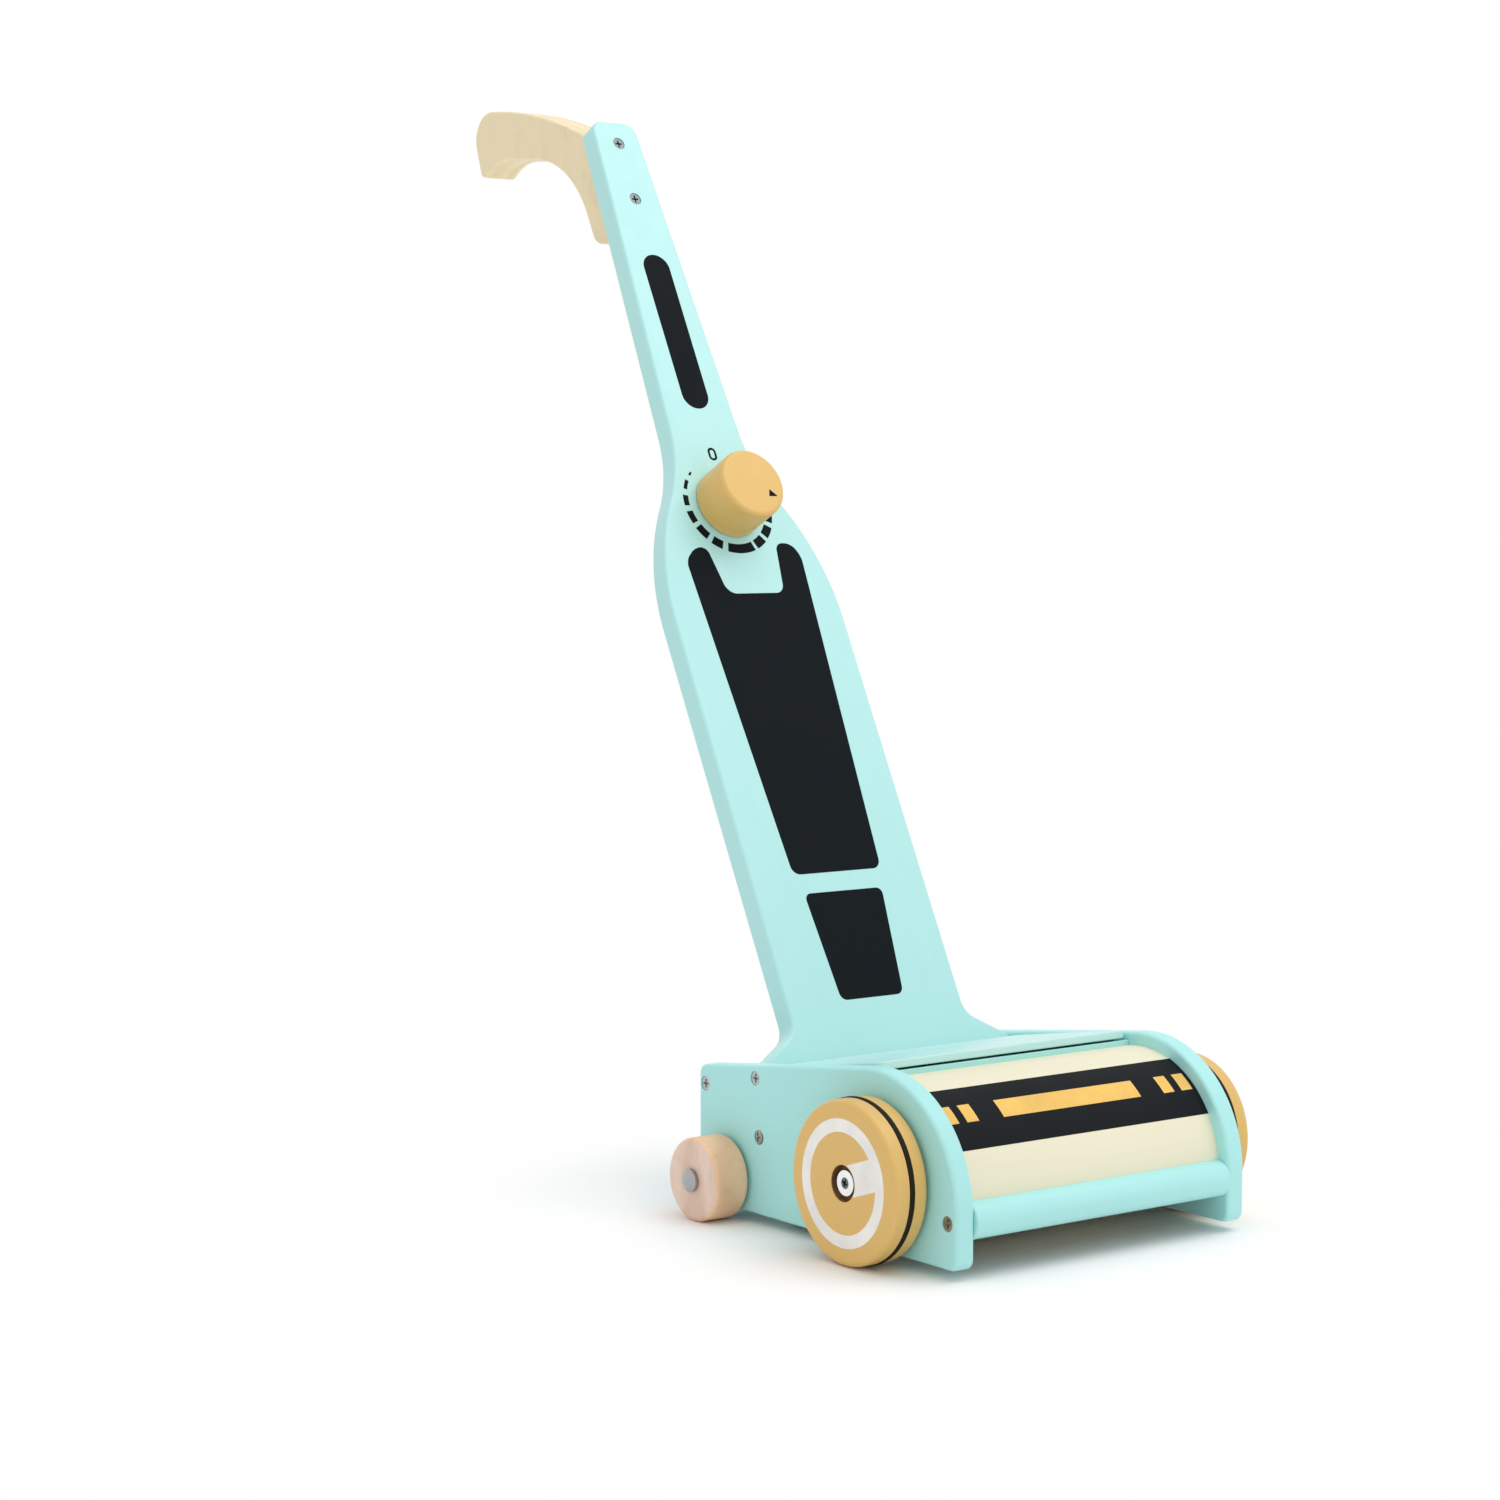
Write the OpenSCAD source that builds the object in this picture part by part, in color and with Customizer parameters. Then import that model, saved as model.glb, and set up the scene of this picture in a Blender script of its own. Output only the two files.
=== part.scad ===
// Wooden toy vacuum cleaner: a low body on four wheels, a leaning handle board with a hooked grip,
// a turning knob on the board and a hatch over the dust bin. Millimetres, +Z up, the front faces -Y.

/* [Body] */
// Width over the two side panels
body_w = 186; // [160:1:210]
// Thickness of each side panel
panel_t = 11; // [9:0.5:13]
// Front edge of the side panels, ahead of the front axle
panel_front = 57; // [56:0.5:60]
// Distance from the rear axle back to the side panels' rear edge
rear_overhang = 24.4; // [22:0.2:34]
// Height of the side panels' lower edge over the floor
panel_z = 5; // [3:0.5:6]
// Radius of the rounded nose of the side panels
nose_r = 62; // [61:0.5:64]
// Height of the centre of the nose radius
nose_z = 29.5; // [29:0.5:32]
// Fall of the side panels' top edge towards the rear, in degrees
top_fall = 7.4; // [6:0.1:8]
// Radius of the side panels' plain corners
panel_corner_r = 5; // [3:0.5:8]
// Rounding of the side panels' edges
panel_edge_r = 2; // [1:0.25:2.5]
// Depth of the grooves in the panels that house the boards between them
groove_depth = 3; // [2:0.5:5]
// Thickness of the rear panel
rear_panel_t = 11; // [9:0.5:13]
// Height of the rear panel's lower edge over the floor
rear_panel_z = 9; // [7:0.5:14]
// Step from the side panels' top edge down to the rear panel's top
rear_panel_step = 5; // [3:0.5:8]
// Distance of the upper rear screws under the rear panel's top
rear_screw_drop = 5.5; // [5:0.1:8]
// Height of the lower rear screws over the rear panel's lower edge
rear_screw_rise = 12; // [8:0.5:14]

/* [Nose] */
// Step from the panels' nose in to the bent cover
cover_step = 6.6; // [5:0.2:8]
// Thickness of the bent cover
cover_t = 3.4; // [3:0.2:4]
// Diameter of the round front bar
bar_d = 18; // [16:0.5:20]
// Distance of the front bar's centre behind the panels' front edge
bar_set_back = 6.8; // [6.4:0.1:8]
// Distance of the front bar's centre under the centre of the nose radius
bar_drop = 2.6; // [1.5:0.1:3.5]
// Distance of the cover rail's front face behind the centre of the nose radius
rail_set_back = 9.4; // [8:0.2:11]
// Depth of the cover rail
rail_depth = 11; // [8:0.5:12]
// Height of the cover rail's front face
rail_h = 14; // [11:0.5:15]

/* [Front wheels and magnet roller] */
// Diameter of the front wheels over their rubber rings
front_wheel_d = 80; // [76:1:84]
// Width of the front wheels
front_wheel_w = 20; // [18:0.5:24]
// Rounding of the front wheels' rims
front_rim_r = 3; // [1:0.5:4]
// Gap between the panels and the front wheels
front_wheel_gap = 2; // [1.6:0.1:3]
// Width of the rubber rings
ring_w = 3.2; // [2.4:0.2:5]
// Thickness of the rubber rings
ring_t = 3; // [2:0.25:4]
// Height by which the rubber rings stand out of the rims
ring_proud = 0.5; // [0.2:0.1:1]
// Diameter of the hub recess in the front wheels
hub_recess_d = 17.4; // [15:0.2:24]
// Depth of the hub recess in the front wheels
hub_recess_depth = 4.5; // [4.3:0.1:9]
// Diameter of the front axle
front_axle_d = 10; // [8:0.5:11]
// Outer diameter of the axle bushes in the panels
bush_d = 16; // [14:0.5:18]
// Diameter of the bushes' flanges
bush_flange_d = 22; // [19:0.5:28]
// Thickness of the bushes' flanges
bush_flange_t = 1.5; // [1:0.1:1.5]
// Diameter of the magnet roller
drum_d = 48; // [40:1:50]
// Gap between the roller's ends and the panels
drum_gap = 3; // [1:0.5:6]
// Diameter of the roller's magnets
magnet_d = 12; // [8:0.5:14]
// Thickness of the roller's magnets
magnet_t = 4; // [3:0.5:6]
// Depth of the magnets' faces under the roller's surface
magnet_sink = 1; // [0.8:0.1:2]
// Rows of magnets around the roller
magnet_rows = 6; // [3:1:6]
// Magnets in each row
magnets_per_row = 3; // [2:1:4]
// Pitch of the magnets along the roller
magnet_pitch = 46; // [20:1:48]

/* [Rear wheels] */
// Diameter of the rear wheels
rear_wheel_d = 42; // [38:0.5:44]
// Width of the rear wheels
rear_wheel_w = 20.5; // [16:0.5:24]
// Rounding of the rear wheels' rims
rear_rim_r = 3; // [1:0.5:4]
// Gap between the panels and the rear wheels
rear_wheel_gap = 1.5; // [1.3:0.1:3]
// Distance between the front and the rear axle
wheelbase = 120.6; // [116:0.2:122]
// Diameter of the rear axle
rear_axle_d = 6; // [5:0.5:7]
// Diameter of the domed caps on the rear axle
cap_d = 11.6; // [9:0.2:13]
// Length of the domed caps
cap_len = 3.2; // [3:0.1:5]
// Thickness of the domed caps' crown
cap_wall = 1.4; // [1.2:0.1:1.8]
// Diameter of the washers behind the rear wheels
rear_washer_d = 14; // [10:0.5:18]

/* [Handle board] */
// Lean of the handle board from the vertical, in degrees
board_tilt = 27; // [25:0.5:28]
// Thickness of the handle board
board_t = 13; // [11:0.5:14]
// Distance of the board's front face ahead of the rear axle, at the reference height
board_set_ahead = 3.6; // [0.6:0.1:4]
// Reference height on the board, from which lengths along it are counted
board_ref_z = 100; // [99.5:0.1:101]
// Width of the board's long middle part
board_w = 114; // [100:1:118]
// Start of the shoulder along the board
shoulder_s = 219; // [210:1:225]
// Radius of the outward curve of the shoulder
shoulder_r = 140; // [120:1:150]
// Radius of the inward curve under the neck
neck_r = 92; // [80:1:110]
// Steepest angle of the shoulder, in degrees
shoulder_angle = 31.1; // [28:0.1:32]
// Taper of each edge of the neck, in degrees
neck_taper = 2.5; // [1.5:0.1:3]
// Top end of the board, counted along it
board_top_s = 531; // [528:0.5:545]
// Corner radius at the board's top
board_top_r = 8; // [4:0.5:10]
// Start of the wide foot, counted along the board
foot_s = -25; // [-28:0.5:-24]
// Slope of the foot's shoulders, in degrees
foot_slope = 31; // [26:0.5:34]
// Radius in the corner over the foot's shoulders
foot_r = 12; // [8:0.5:16]
// Rounding of the board's edges
board_edge_r = 2; // [1:0.25:2.5]
// Height of the screws that hold the board between the panels
board_screw_z = 44.2; // [40:0.2:56]

/* [Grip] */
// Width of the grip
grip_w = 22; // [18:0.5:26]
// Thickness of the grip's leg on the board
grip_leg_t = 20; // [17:0.5:23]
// Lower end of the grip's leg, counted up from the board's top end
grip_foot_s = -64; // [-71:1:-61]
// Radius of the outer corner at the leg's lower end
grip_foot_r = 8; // [4:0.5:9]
// Top of the grip where it meets the board, counted up from the board's top end
grip_root_s = -1; // [-4:0.5:0]
// Radius of the grip's corner at the board
grip_root_r = 3; // [2.5:0.5:6]
// Place of the crown of the grip's back, counted up from the board's top end
grip_crown_s = 9; // [7:0.5:12]
// Distance of the crown's centre behind the board
grip_crown_out = 54; // [50:0.5:58]
// Radius of the crown of the grip's back
grip_crown_r = 30; // [28:0.5:32]
// Place of the rounded end, counted up from the board's top end
grip_end_s = 46.5; // [44:0.5:48]
// Distance of the rounded end's centre behind the board
grip_end_out = 86.5; // [84:0.5:90]
// Radius of the rounded end
grip_end_r = 19; // [17:0.5:21]
// Place of the hook's tip, counted up from the board's top end
hook_tip_s = 37.5; // [36.5:0.5:40]
// Distance of the hook's tip behind the board
hook_tip_out = 102; // [99:0.5:103]
// Radius of the hook's tip
hook_tip_r = 4; // [3.5:0.25:5]
// Place of the arch over the fingers, counted up from the board's top end
arch_s = -43; // [-46:0.5:-40]
// Radius of the arch over the fingers
arch_r = 67.5; // [62:0.5:69]
// Place of the tighter curve inside the hook, counted up from the board's top end
hook_s = -5.5; // [-9:0.5:-4]
// Distance of the hook's curve behind the board
hook_out = 95; // [92:0.5:98]
// Radius of the hook's curve
hook_r = 39.5; // [37:0.5:40.5]
// Rounding of the grip's edges
grip_edge_r = 2; // [1:0.25:3]
// Lower grip screw, counted up from the board's top end
grip_screw_s = -50.4; // [-53:0.2:-47]
// Distance between the two grip screws
grip_screw_pitch = 36; // [30:0.5:38]

/* [Knob] */
// Place of the knob along the board
knob_s = 288.5; // [282:0.5:300]
// Diameter of the knob
knob_d = 40; // [34:0.5:44]
// Height of the knob
knob_h = 27; // [20:0.5:30]
// Rounding of the knob's face
knob_round_r = 2.5; // [1.5:0.5:6]
// Diameter of the knob's screw
knob_screw_d = 5; // [4:0.5:7]
// Head diameter of the knob's screw
knob_head_d = 10; // [9:0.5:13]
// Head height of the knob's screw
knob_head_h = 3; // [2.4:0.2:4]
// Length of the knob's screw inside the knob
knob_grab = 14; // [10:0.5:16]
// Diameter of the washer behind the board
knob_washer_d = 15; // [13:0.5:20]
// Thickness of the washer behind the board
knob_washer_t = 1.2; // [0.8:0.1:2]

/* [Hatch] */
// Thickness of the hatch board
lid_t = 4; // [3.4:0.1:4.4]
// Step from the cover rail's front face back to the hatch's front edge
lid_front_step = 1.1; // [0.4:0.1:4]
// Depth of the hinge line under the side panels' top edge
lid_sink = 6.6; // [6:0.1:8]
// Clearance between the turning hinge dowel and the handle board
hinge_gap = 0.5; // [0.4:0.05:3]
// Slope of the closed hatch, in degrees
lid_fall = 9.4; // [8.4:0.1:10]
// Radius of the hinge dowel under the hatch's rear edge
lid_dowel_r = 4.8; // [4.5:0.05:4.9]
// Corner radius at the front of the hatch
lid_corner_r = 4; // [2:0.5:8]
// Rounding of the hatch board's edges
lid_edge_r = 0.8; // [0.4:0.1:1.2]
// Gap at each end of the hatch
lid_end_gap = 1; // [0.5:0.1:1.4]
// Gap between the closed hatch and the cover rail
lid_seat_gap = 0.6; // [0.4:0.05:0.8]
// Overlap of the hatch board behind the hinge line
lid_tail = 1; // [0.5:0.1:1.2]

/* [Dust bin] */
// Gap between the magnet roller and the sloping bin floor's front edge
ramp_gap = 16; // [14:0.5:20]
// Height of the bin floor's rear end
ramp_rear_z = 11.2; // [11:0.2:13]
// Thickness of the bin floor
ramp_t = 5; // [4:0.25:5.5]
// Length of the bin floor behind the handle board
ramp_tail = 2; // [1:0.5:3]

/* [Fasteners] */
// Shank diameter of the wood screws
screw_d = 4; // [3.5:0.1:4.5]
// Head diameter of the wood screws
screw_head_d = 7.4; // [7:0.1:9]
// Length of the wood screws
screw_len = 34; // [28:0.5:36]
// Length of the grip screws
grip_screw_len = 28; // [22:0.5:30]
// Thickness of the screw heads' rim
screw_rim = 0.3; // [0.2:0.05:0.6]
// Depth of the screw heads under the surface around them
screw_sink = 0.4; // [0.2:0.1:0.8]
// Depth of the cross recess in the screw heads
recess_depth = 1.4; // [0.8:0.1:1.8]
// Width of the cross recess's slots
recess_w = 1; // [0.8:0.1:1.4]
// Span of the cross recess as a share of the head's diameter
recess_share = 0.6; // [0.5:0.05:0.7]
// Shank diameter of the wheel screws
wheel_screw_d = 4; // [3:0.1:5]
// Length of the wheel screws' shanks
wheel_screw_len = 20; // [12:0.5:24]
// Head diameter of the wheel screws
wheel_screw_head_d = 7.4; // [6:0.1:9]
// Head height of the wheel screws
wheel_screw_head_h = 2.4; // [2:0.1:2.5]
// Diameter of the wheel washers
wheel_washer_d = 12.6; // [11.5:0.1:14]
// Thickness of the wheel washers
wheel_washer_t = 1.5; // [1:0.1:1.8]

/* [Fits] */
// Radial play of turning bores
run_play = 0.05; // [0.02:0.01:0.1]
// Play of glued and screwed seats
seat_play = 0.02; // [0.01:0.01:0.05]
// Play between faces that turn past each other
face_play = 0.4; // [0.3:0.05:0.5]

/* [Hidden] */
$fn = 64;

mint = [0.75, 0.93, 0.92];
cream = [0.95, 0.94, 0.85];
mustard = [0.94, 0.79, 0.49];
birch = [0.85, 0.78, 0.62];
beech = [0.86, 0.74, 0.64];
steel = [0.78, 0.79, 0.80];
magnet_grey = [0.55, 0.56, 0.58];
nylon = [0.92, 0.92, 0.90];
rubber = [0.2, 0.16, 0.12];

// A thin layer for hulls, the length by which a cut passes a face, and a length that passes through any board
thin = 0.01;
cut = 1;
far = 60;

// Steps along long and short arcs, in degrees
long_step = 5;
short_step = 22;

panel_x = body_w / 2;
panel_rear = wheelbase + rear_overhang;
inner_x = panel_x - panel_t;
nose_y = nose_r - panel_front;
axle_z = front_wheel_d / 2;
rear_z = rear_wheel_d / 2;
function top_z(y) = nose_z + nose_r / cos(top_fall) - (y - nose_y) * tan(top_fall);

cover_r = nose_r - cover_step;
cover_in_r = cover_r - cover_t;
bar_front = panel_front - bar_set_back;
bar_z = nose_z - bar_drop;
rail_y = nose_y + rail_set_back;

wheel_in_x = panel_x + front_wheel_gap;
wheel_out_x = wheel_in_x + front_wheel_w;
hub_floor_x = wheel_out_x - hub_recess_depth;
front_wheel_r = front_wheel_d / 2 - ring_proud;
groove_r = front_wheel_d / 2 - ring_t;
drum_x = inner_x - drum_gap;

rear_in_x = panel_x + rear_wheel_gap;
rear_out_x = rear_in_x + rear_wheel_w;
cap_x = rear_out_x + face_play;
rear_washer_t = rear_wheel_gap - face_play;
rear_rod_x = cap_x + cap_len - cap_wall;

rear_panel_mid_y = panel_rear - rear_panel_t / 2;
rear_panel_top = top_z(panel_rear - rear_panel_t) - rear_panel_step;
rear_screw_high = rear_panel_top - rear_screw_drop;
rear_screw_low = rear_panel_z + rear_screw_rise;

// Outline of the handle board, half of it, as distances from its middle line over lengths along it
board_y = wheelbase - board_set_ahead;
board_half = board_w / 2;
bend_s = shoulder_s + shoulder_r * sin(shoulder_angle);
bend_x = board_half - shoulder_r * (1 - cos(shoulder_angle));
neck_s = bend_s + neck_r * (sin(shoulder_angle) - sin(neck_taper));
neck_x = bend_x - neck_r * (cos(neck_taper) - cos(shoulder_angle));
top_x = neck_x - (board_top_s - neck_s) * tan(neck_taper);
foot_bend_x = board_half + foot_r * (1 - sin(foot_slope));
foot_bend_s = foot_s + (inner_x - foot_bend_x) * tan(foot_slope);
foot_curve_s = foot_bend_s + foot_r * cos(foot_slope);

// The bin floor stands square to the handle board, so the board's end sits flat on it; from its rear end
// it rises to its front edge by the part of the way that lies along the floor
ramp_y = drum_d / 2 + ramp_gap;
ramp_run = board_y - ramp_y;
ramp_way = ramp_run * cos(board_tilt) - board_ref_z * sin(board_tilt) + board_t + ramp_tail;
ramp_z = (ramp_rear_z + ramp_way * sin(board_tilt)) / pow(cos(board_tilt), 2);
ramp_level = ramp_z - board_ref_z;
board_end_s = (ramp_level - ramp_run * tan(board_tilt)) * cos(board_tilt);
ramp_len = ramp_way + ramp_z * sin(board_tilt);

board_screw_s = (board_screw_z - board_ref_z + board_t / 2 * sin(board_tilt)) / cos(board_tilt);
board_screw_y = board_y + board_screw_s * sin(board_tilt) + board_t / 2 * cos(board_tilt);

// The hinge line runs at one depth under the panels' falling top edge, where the turning dowel just clears
// the leaning board
hinge_reach = (lid_dowel_r + hinge_gap) / cos(board_tilt);
hinge_level = top_z(0) - lid_sink - board_ref_z;
lid_pivot_y = (board_y + hinge_level * tan(board_tilt) - hinge_reach) / (1 + tan(top_fall) * tan(board_tilt));
lid_pivot_z = top_z(lid_pivot_y) - lid_sink;
lid_front_y = rail_y + lid_front_step;
lid_x = inner_x - lid_end_gap;
lid_len = (lid_pivot_y + lid_dowel_r * sin(lid_fall) - lid_front_y) / cos(lid_fall);
lid_under = lid_dowel_r - lid_t;
function lid_under_z(y) = lid_pivot_z - (y - lid_pivot_y) * tan(lid_fall) + lid_under / cos(lid_fall);

grip_end_back = (board_t + grip_end_out) * cos(board_tilt) + grip_end_r;
grip_end_y = board_y + (board_top_s + grip_end_s) * sin(board_tilt) + grip_end_back;
front_y = max(panel_front, bar_front + bar_d / 2);
origin_y = (grip_end_y - front_y) / 2;

screw_cone_h = (screw_head_d - screw_d) / 2;
recess_span = screw_head_d * recess_share;
wheel_recess_span = wheel_screw_head_d * recess_share;
knob_recess_span = knob_head_d * recess_share;

// The model's origin lies on the floor, under the middle of its length
module placed() { translate([0, -origin_y, 0]) children(); }

// Turns an outline drawn in Y and Z into a solid between two values of X
module across(x0, x1) {
  translate([x0, 0, 0]) rotate([90, 0, 90]) linear_extrude(x1 - x0) children();
}

// A round bar along X
module rod(y, z, r, x0, x1) {
  translate([x0, y, z]) rotate([0, 90, 0]) cylinder(r = r, h = x1 - x0);
}

// The handle board's frame: X across, Y up along the board, Z out of its front face
module on_board() {
  translate([0, board_y, board_ref_z]) rotate([90 - board_tilt, 0, 0]) children();
}

// Places its child at both grip screws, in the handle board's frame
module at_grip_screws() {
  for (i = [0, 1]) {
    translate([0, board_top_s + grip_screw_s + i * grip_screw_pitch, 0]) children();
  }
}

// The hatch's frame: its origin on the hinge line, -Y towards the hatch's front edge
module on_hatch() {
  translate([0, lid_pivot_y, lid_pivot_z]) rotate([-lid_fall, 0, 0]) children();
}

function arc(cx, cy, r, a0, a1, step) =
  let (n = max(1, ceil(abs(a1 - a0) / step)))
  [for (i = [0 : n]) let (a = a0 + (a1 - a0) * i / n) [cx + r * cos(a), cy + r * sin(a)]];

// A plate of convex outline with rounded edges
module soft_plate(t, r) {
  hull() {
    for (a = [0 : 30 : 90]) {
      inset = r * (1 - sin(a));
      rise = r * (1 - cos(a));
      translate([0, 0, rise]) linear_extrude(thin) offset(delta = -inset) children();
      translate([0, 0, t - rise - thin]) linear_extrude(thin) offset(delta = -inset) children();
    }
  }
}

// A plate of any outline with rounded edges
module soft_slab(t, r) {
  minkowski() {
    translate([0, 0, r]) linear_extrude(t - 2 * r) offset(delta = -r) children();
    rotate_extrude($fn = 16) polygon([for (a = [-90 : 30 : 90]) [r * cos(a), r * sin(a)]]);
  }
}

// A disc with rounded rims, lying on its flat side
module round_disc(r, w, e) {
  rotate_extrude() {
    square([r - e, w]);
    translate([0, e]) square([r, w - 2 * e]);
    translate([r - e, e]) circle(e);
    translate([r - e, w - e]) circle(e);
  }
}

// Two crossed slots that reach from z = 0 down by the recess's depth
module cross_recess(span) {
  for (a = [0, 90]) {
    rotate(a) translate([-span / 2, -recess_w / 2, -recess_depth]) cube([span, recess_w, recess_depth + cut]);
  }
}

// Half section of a countersunk screw with its head's face in z = 0, or of a hole around it that rises higher
module screw_section(len, play, rise) {
  shank_r = screw_d / 2 + play;
  head_r = screw_head_d / 2 + play;
  rim_z = -screw_rim - play;
  polygon([
    [0, -len - play],
    [shank_r, -len - play],
    [shank_r, rim_z - screw_cone_h],
    [head_r, rim_z],
    [head_r, rise],
    [0, rise]
  ]);
}

// A countersunk screw, sunk a little under the plane z = 0, with its shank towards -Z
module wood_screw(len) {
  translate([0, 0, -screw_sink]) difference() {
    rotate_extrude() screw_section(len, 0, 0);
    cross_recess(recess_span);
  }
}

// The hole for such a screw, with its countersink
module wood_screw_hole(len) {
  translate([0, 0, -screw_sink]) rotate_extrude() screw_section(len, seat_play, screw_sink + cut);
}

// Places a screw on the outer face of a side panel; side is -1 on the left and 1 on the right
module on_panel(side, y, z) {
  translate([side * panel_x, y, z]) rotate([0, side * 90, 0]) children();
}

// The places of the hatch's pivot screw and of the fixed screws in each side panel
pivot_spot = [lid_pivot_y, lid_pivot_z];
side_screw_spots = [
  [-bar_front, bar_z],
  [board_screw_y, board_screw_z],
  [rear_panel_mid_y, rear_screw_high],
  [rear_panel_mid_y, rear_screw_low]
];

module panel_outline() {
  rear_c = panel_rear - panel_corner_r;
  front_c = -panel_front + panel_corner_r;
  low_c = panel_z + panel_corner_r;
  top_c = top_z(rear_c) - panel_corner_r / cos(top_fall);
  polygon(concat(
    arc(nose_y, nose_z, nose_r, 180, 90 - top_fall, long_step),
    arc(rear_c, top_c, panel_corner_r, 90 - top_fall, 0, short_step),
    arc(rear_c, low_c, panel_corner_r, 0, -90, short_step),
    arc(front_c, low_c, panel_corner_r, -90, -180, short_step)
  ));
}

// Section of the bent cover, from the cover rail round to the front bar
module cover_section(play) {
  difference() {
    intersection() {
      difference() {
        translate([nose_y, nose_z]) circle(r = cover_r + play, $fn = 128);
        translate([nose_y, nose_z]) circle(r = cover_in_r - play, $fn = 128);
      }
      translate([-panel_front, bar_z]) square([panel_front + rail_y, nose_r + far]);
    }
    translate([-bar_front, bar_z]) circle(r = bar_d / 2);
  }
}

// Section of the cover rail, its top parallel to the closed hatch
module rail_section(play) {
  rail_top = lid_under_z(rail_y) - lid_seat_gap;
  rail_rear_top = lid_under_z(rail_y + rail_depth) - lid_seat_gap;
  polygon([
    [rail_y - play, rail_top + play],
    [rail_y + rail_depth + play, rail_rear_top + play],
    [rail_y + rail_depth + play, rail_top - rail_h - play],
    [rail_y - play, rail_top - rail_h - play]
  ]);
}

// Section of the sloping bin floor
module ramp_section(play) {
  translate([ramp_y, ramp_z]) rotate(-board_tilt)
    translate([-play, -ramp_t - play]) square([ramp_len + 2 * play, ramp_t + 2 * play]);
}

module side_panel(side) {
  mid_x = side * (panel_x - panel_t / 2);
  groove_x = inner_x + groove_depth + seat_play;
  difference() {
    mirror([side > 0 ? 0 : 1, 0, 0]) translate([inner_x, 0, 0]) rotate([90, 0, 90])
      soft_plate(panel_t, panel_edge_r) panel_outline();
    mirror([side > 0 ? 0 : 1, 0, 0]) across(inner_x - cut, groove_x) {
      cover_section(seat_play);
      rail_section(seat_play);
      ramp_section(seat_play);
    }
    rod(0, axle_z, bush_d / 2 + seat_play, mid_x - panel_t, mid_x + panel_t);
    rod(wheelbase, rear_z, rear_axle_d / 2 + seat_play, mid_x - panel_t, mid_x + panel_t);
    for (spot = concat(side_screw_spots, [pivot_spot])) {
      on_panel(side, spot[0], spot[1]) wood_screw_hole(screw_len);
    }
  }
}

module side_panel_left() { color(mint) placed() side_panel(-1); }

module side_panel_right() { color(mint) placed() side_panel(1); }

module rear_panel() {
  color(mint) placed() difference() {
    translate([-inner_x, panel_rear - rear_panel_t, rear_panel_z])
      cube([2 * inner_x, rear_panel_t, rear_panel_top - rear_panel_z]);
    for (side = [-1, 1], h = [rear_screw_high, rear_screw_low]) {
      on_panel(side, rear_panel_mid_y, h) wood_screw_hole(screw_len);
    }
  }
}

module front_cover() {
  color(cream) placed() across(-inner_x - groove_depth, inner_x + groove_depth) cover_section(0);
}

module cover_rail() {
  color(mint) placed() across(-inner_x - groove_depth, inner_x + groove_depth) rail_section(0);
}

module front_bar() {
  color(mint) placed() difference() {
    rod(-bar_front, bar_z, bar_d / 2, -inner_x, inner_x);
    for (side = [-1, 1]) {
      on_panel(side, -bar_front, bar_z) wood_screw_hole(screw_len);
    }
  }
}

module bin_ramp() {
  color(birch) placed() across(-inner_x - groove_depth, inner_x + groove_depth) ramp_section(0);
}

module board_outline() {
  half = concat(
    [[inner_x, board_end_s], [inner_x, foot_s]],
    arc(foot_bend_x + foot_r * sin(foot_slope), foot_curve_s, foot_r, 270 - foot_slope, 180, short_step),
    arc(board_half - shoulder_r, shoulder_s, shoulder_r, 0, shoulder_angle, long_step),
    arc(bend_x + neck_r * cos(shoulder_angle), bend_s + neck_r * sin(shoulder_angle), neck_r,
      180 + shoulder_angle, 180 + neck_taper, long_step),
    arc(top_x - board_top_r, board_top_s - board_top_r, board_top_r, 0, 90, short_step)
  );
  polygon(concat(half, [for (i = [len(half) - 1 : -1 : 0]) [-half[i][0], half[i][1]]]));
}

module handle_board() {
  color(mint) placed() difference() {
    on_board() translate([0, 0, -board_t]) soft_slab(board_t, board_edge_r) board_outline();
    on_board() {
      at_grip_screws() wood_screw_hole(grip_screw_len);
      translate([0, knob_s, -board_t - cut]) cylinder(r = knob_screw_d / 2 + run_play, h = board_t + 2 * cut);
    }
    for (side = [-1, 1]) {
      on_panel(side, board_screw_y, board_screw_z) wood_screw_hole(screw_len);
    }
  }
}

// Side view of the grip: length up from the board's top end against the distance behind the board's back
module grip_outline() {
  difference() {
    hull() {
      translate([grip_foot_s, 0]) square([grip_root_s - grip_root_r - grip_foot_s, thin]);
      translate([grip_foot_s + grip_foot_r, grip_leg_t - grip_foot_r]) circle(r = grip_foot_r, $fn = 24);
      translate([grip_root_s - grip_root_r, grip_root_r]) circle(r = grip_root_r, $fn = 24);
      translate([grip_crown_s, grip_crown_out]) circle(r = grip_crown_r, $fn = 32);
      translate([grip_end_s, grip_end_out]) circle(r = grip_end_r, $fn = 40);
      translate([hook_tip_s, hook_tip_out]) circle(r = hook_tip_r, $fn = 24);
    }
    hull() {
      translate([arch_s, grip_leg_t + arch_r]) circle(r = arch_r, $fn = 72);
      translate([hook_s, hook_out]) circle(r = hook_r, $fn = 64);
    }
    translate([grip_foot_s - far, grip_leg_t]) square([arch_s - grip_foot_s + far, 2 * far]);
  }
}

module handle_grip() {
  color(birch) placed() on_board() difference() {
    translate([-grip_w / 2, board_top_s, -board_t]) rotate([90, 0, 90])
      soft_slab(grip_w, grip_edge_r) mirror([0, 1]) grip_outline();
    at_grip_screws() wood_screw_hole(grip_screw_len);
  }
}

module grip_screws() {
  color(steel) placed() on_board() at_grip_screws() wood_screw(grip_screw_len);
}

module side_screws(side) {
  for (spot = side_screw_spots) {
    on_panel(side, spot[0], spot[1]) wood_screw(screw_len);
  }
}

module side_screws_left() { color(steel) placed() side_screws(-1); }

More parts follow.
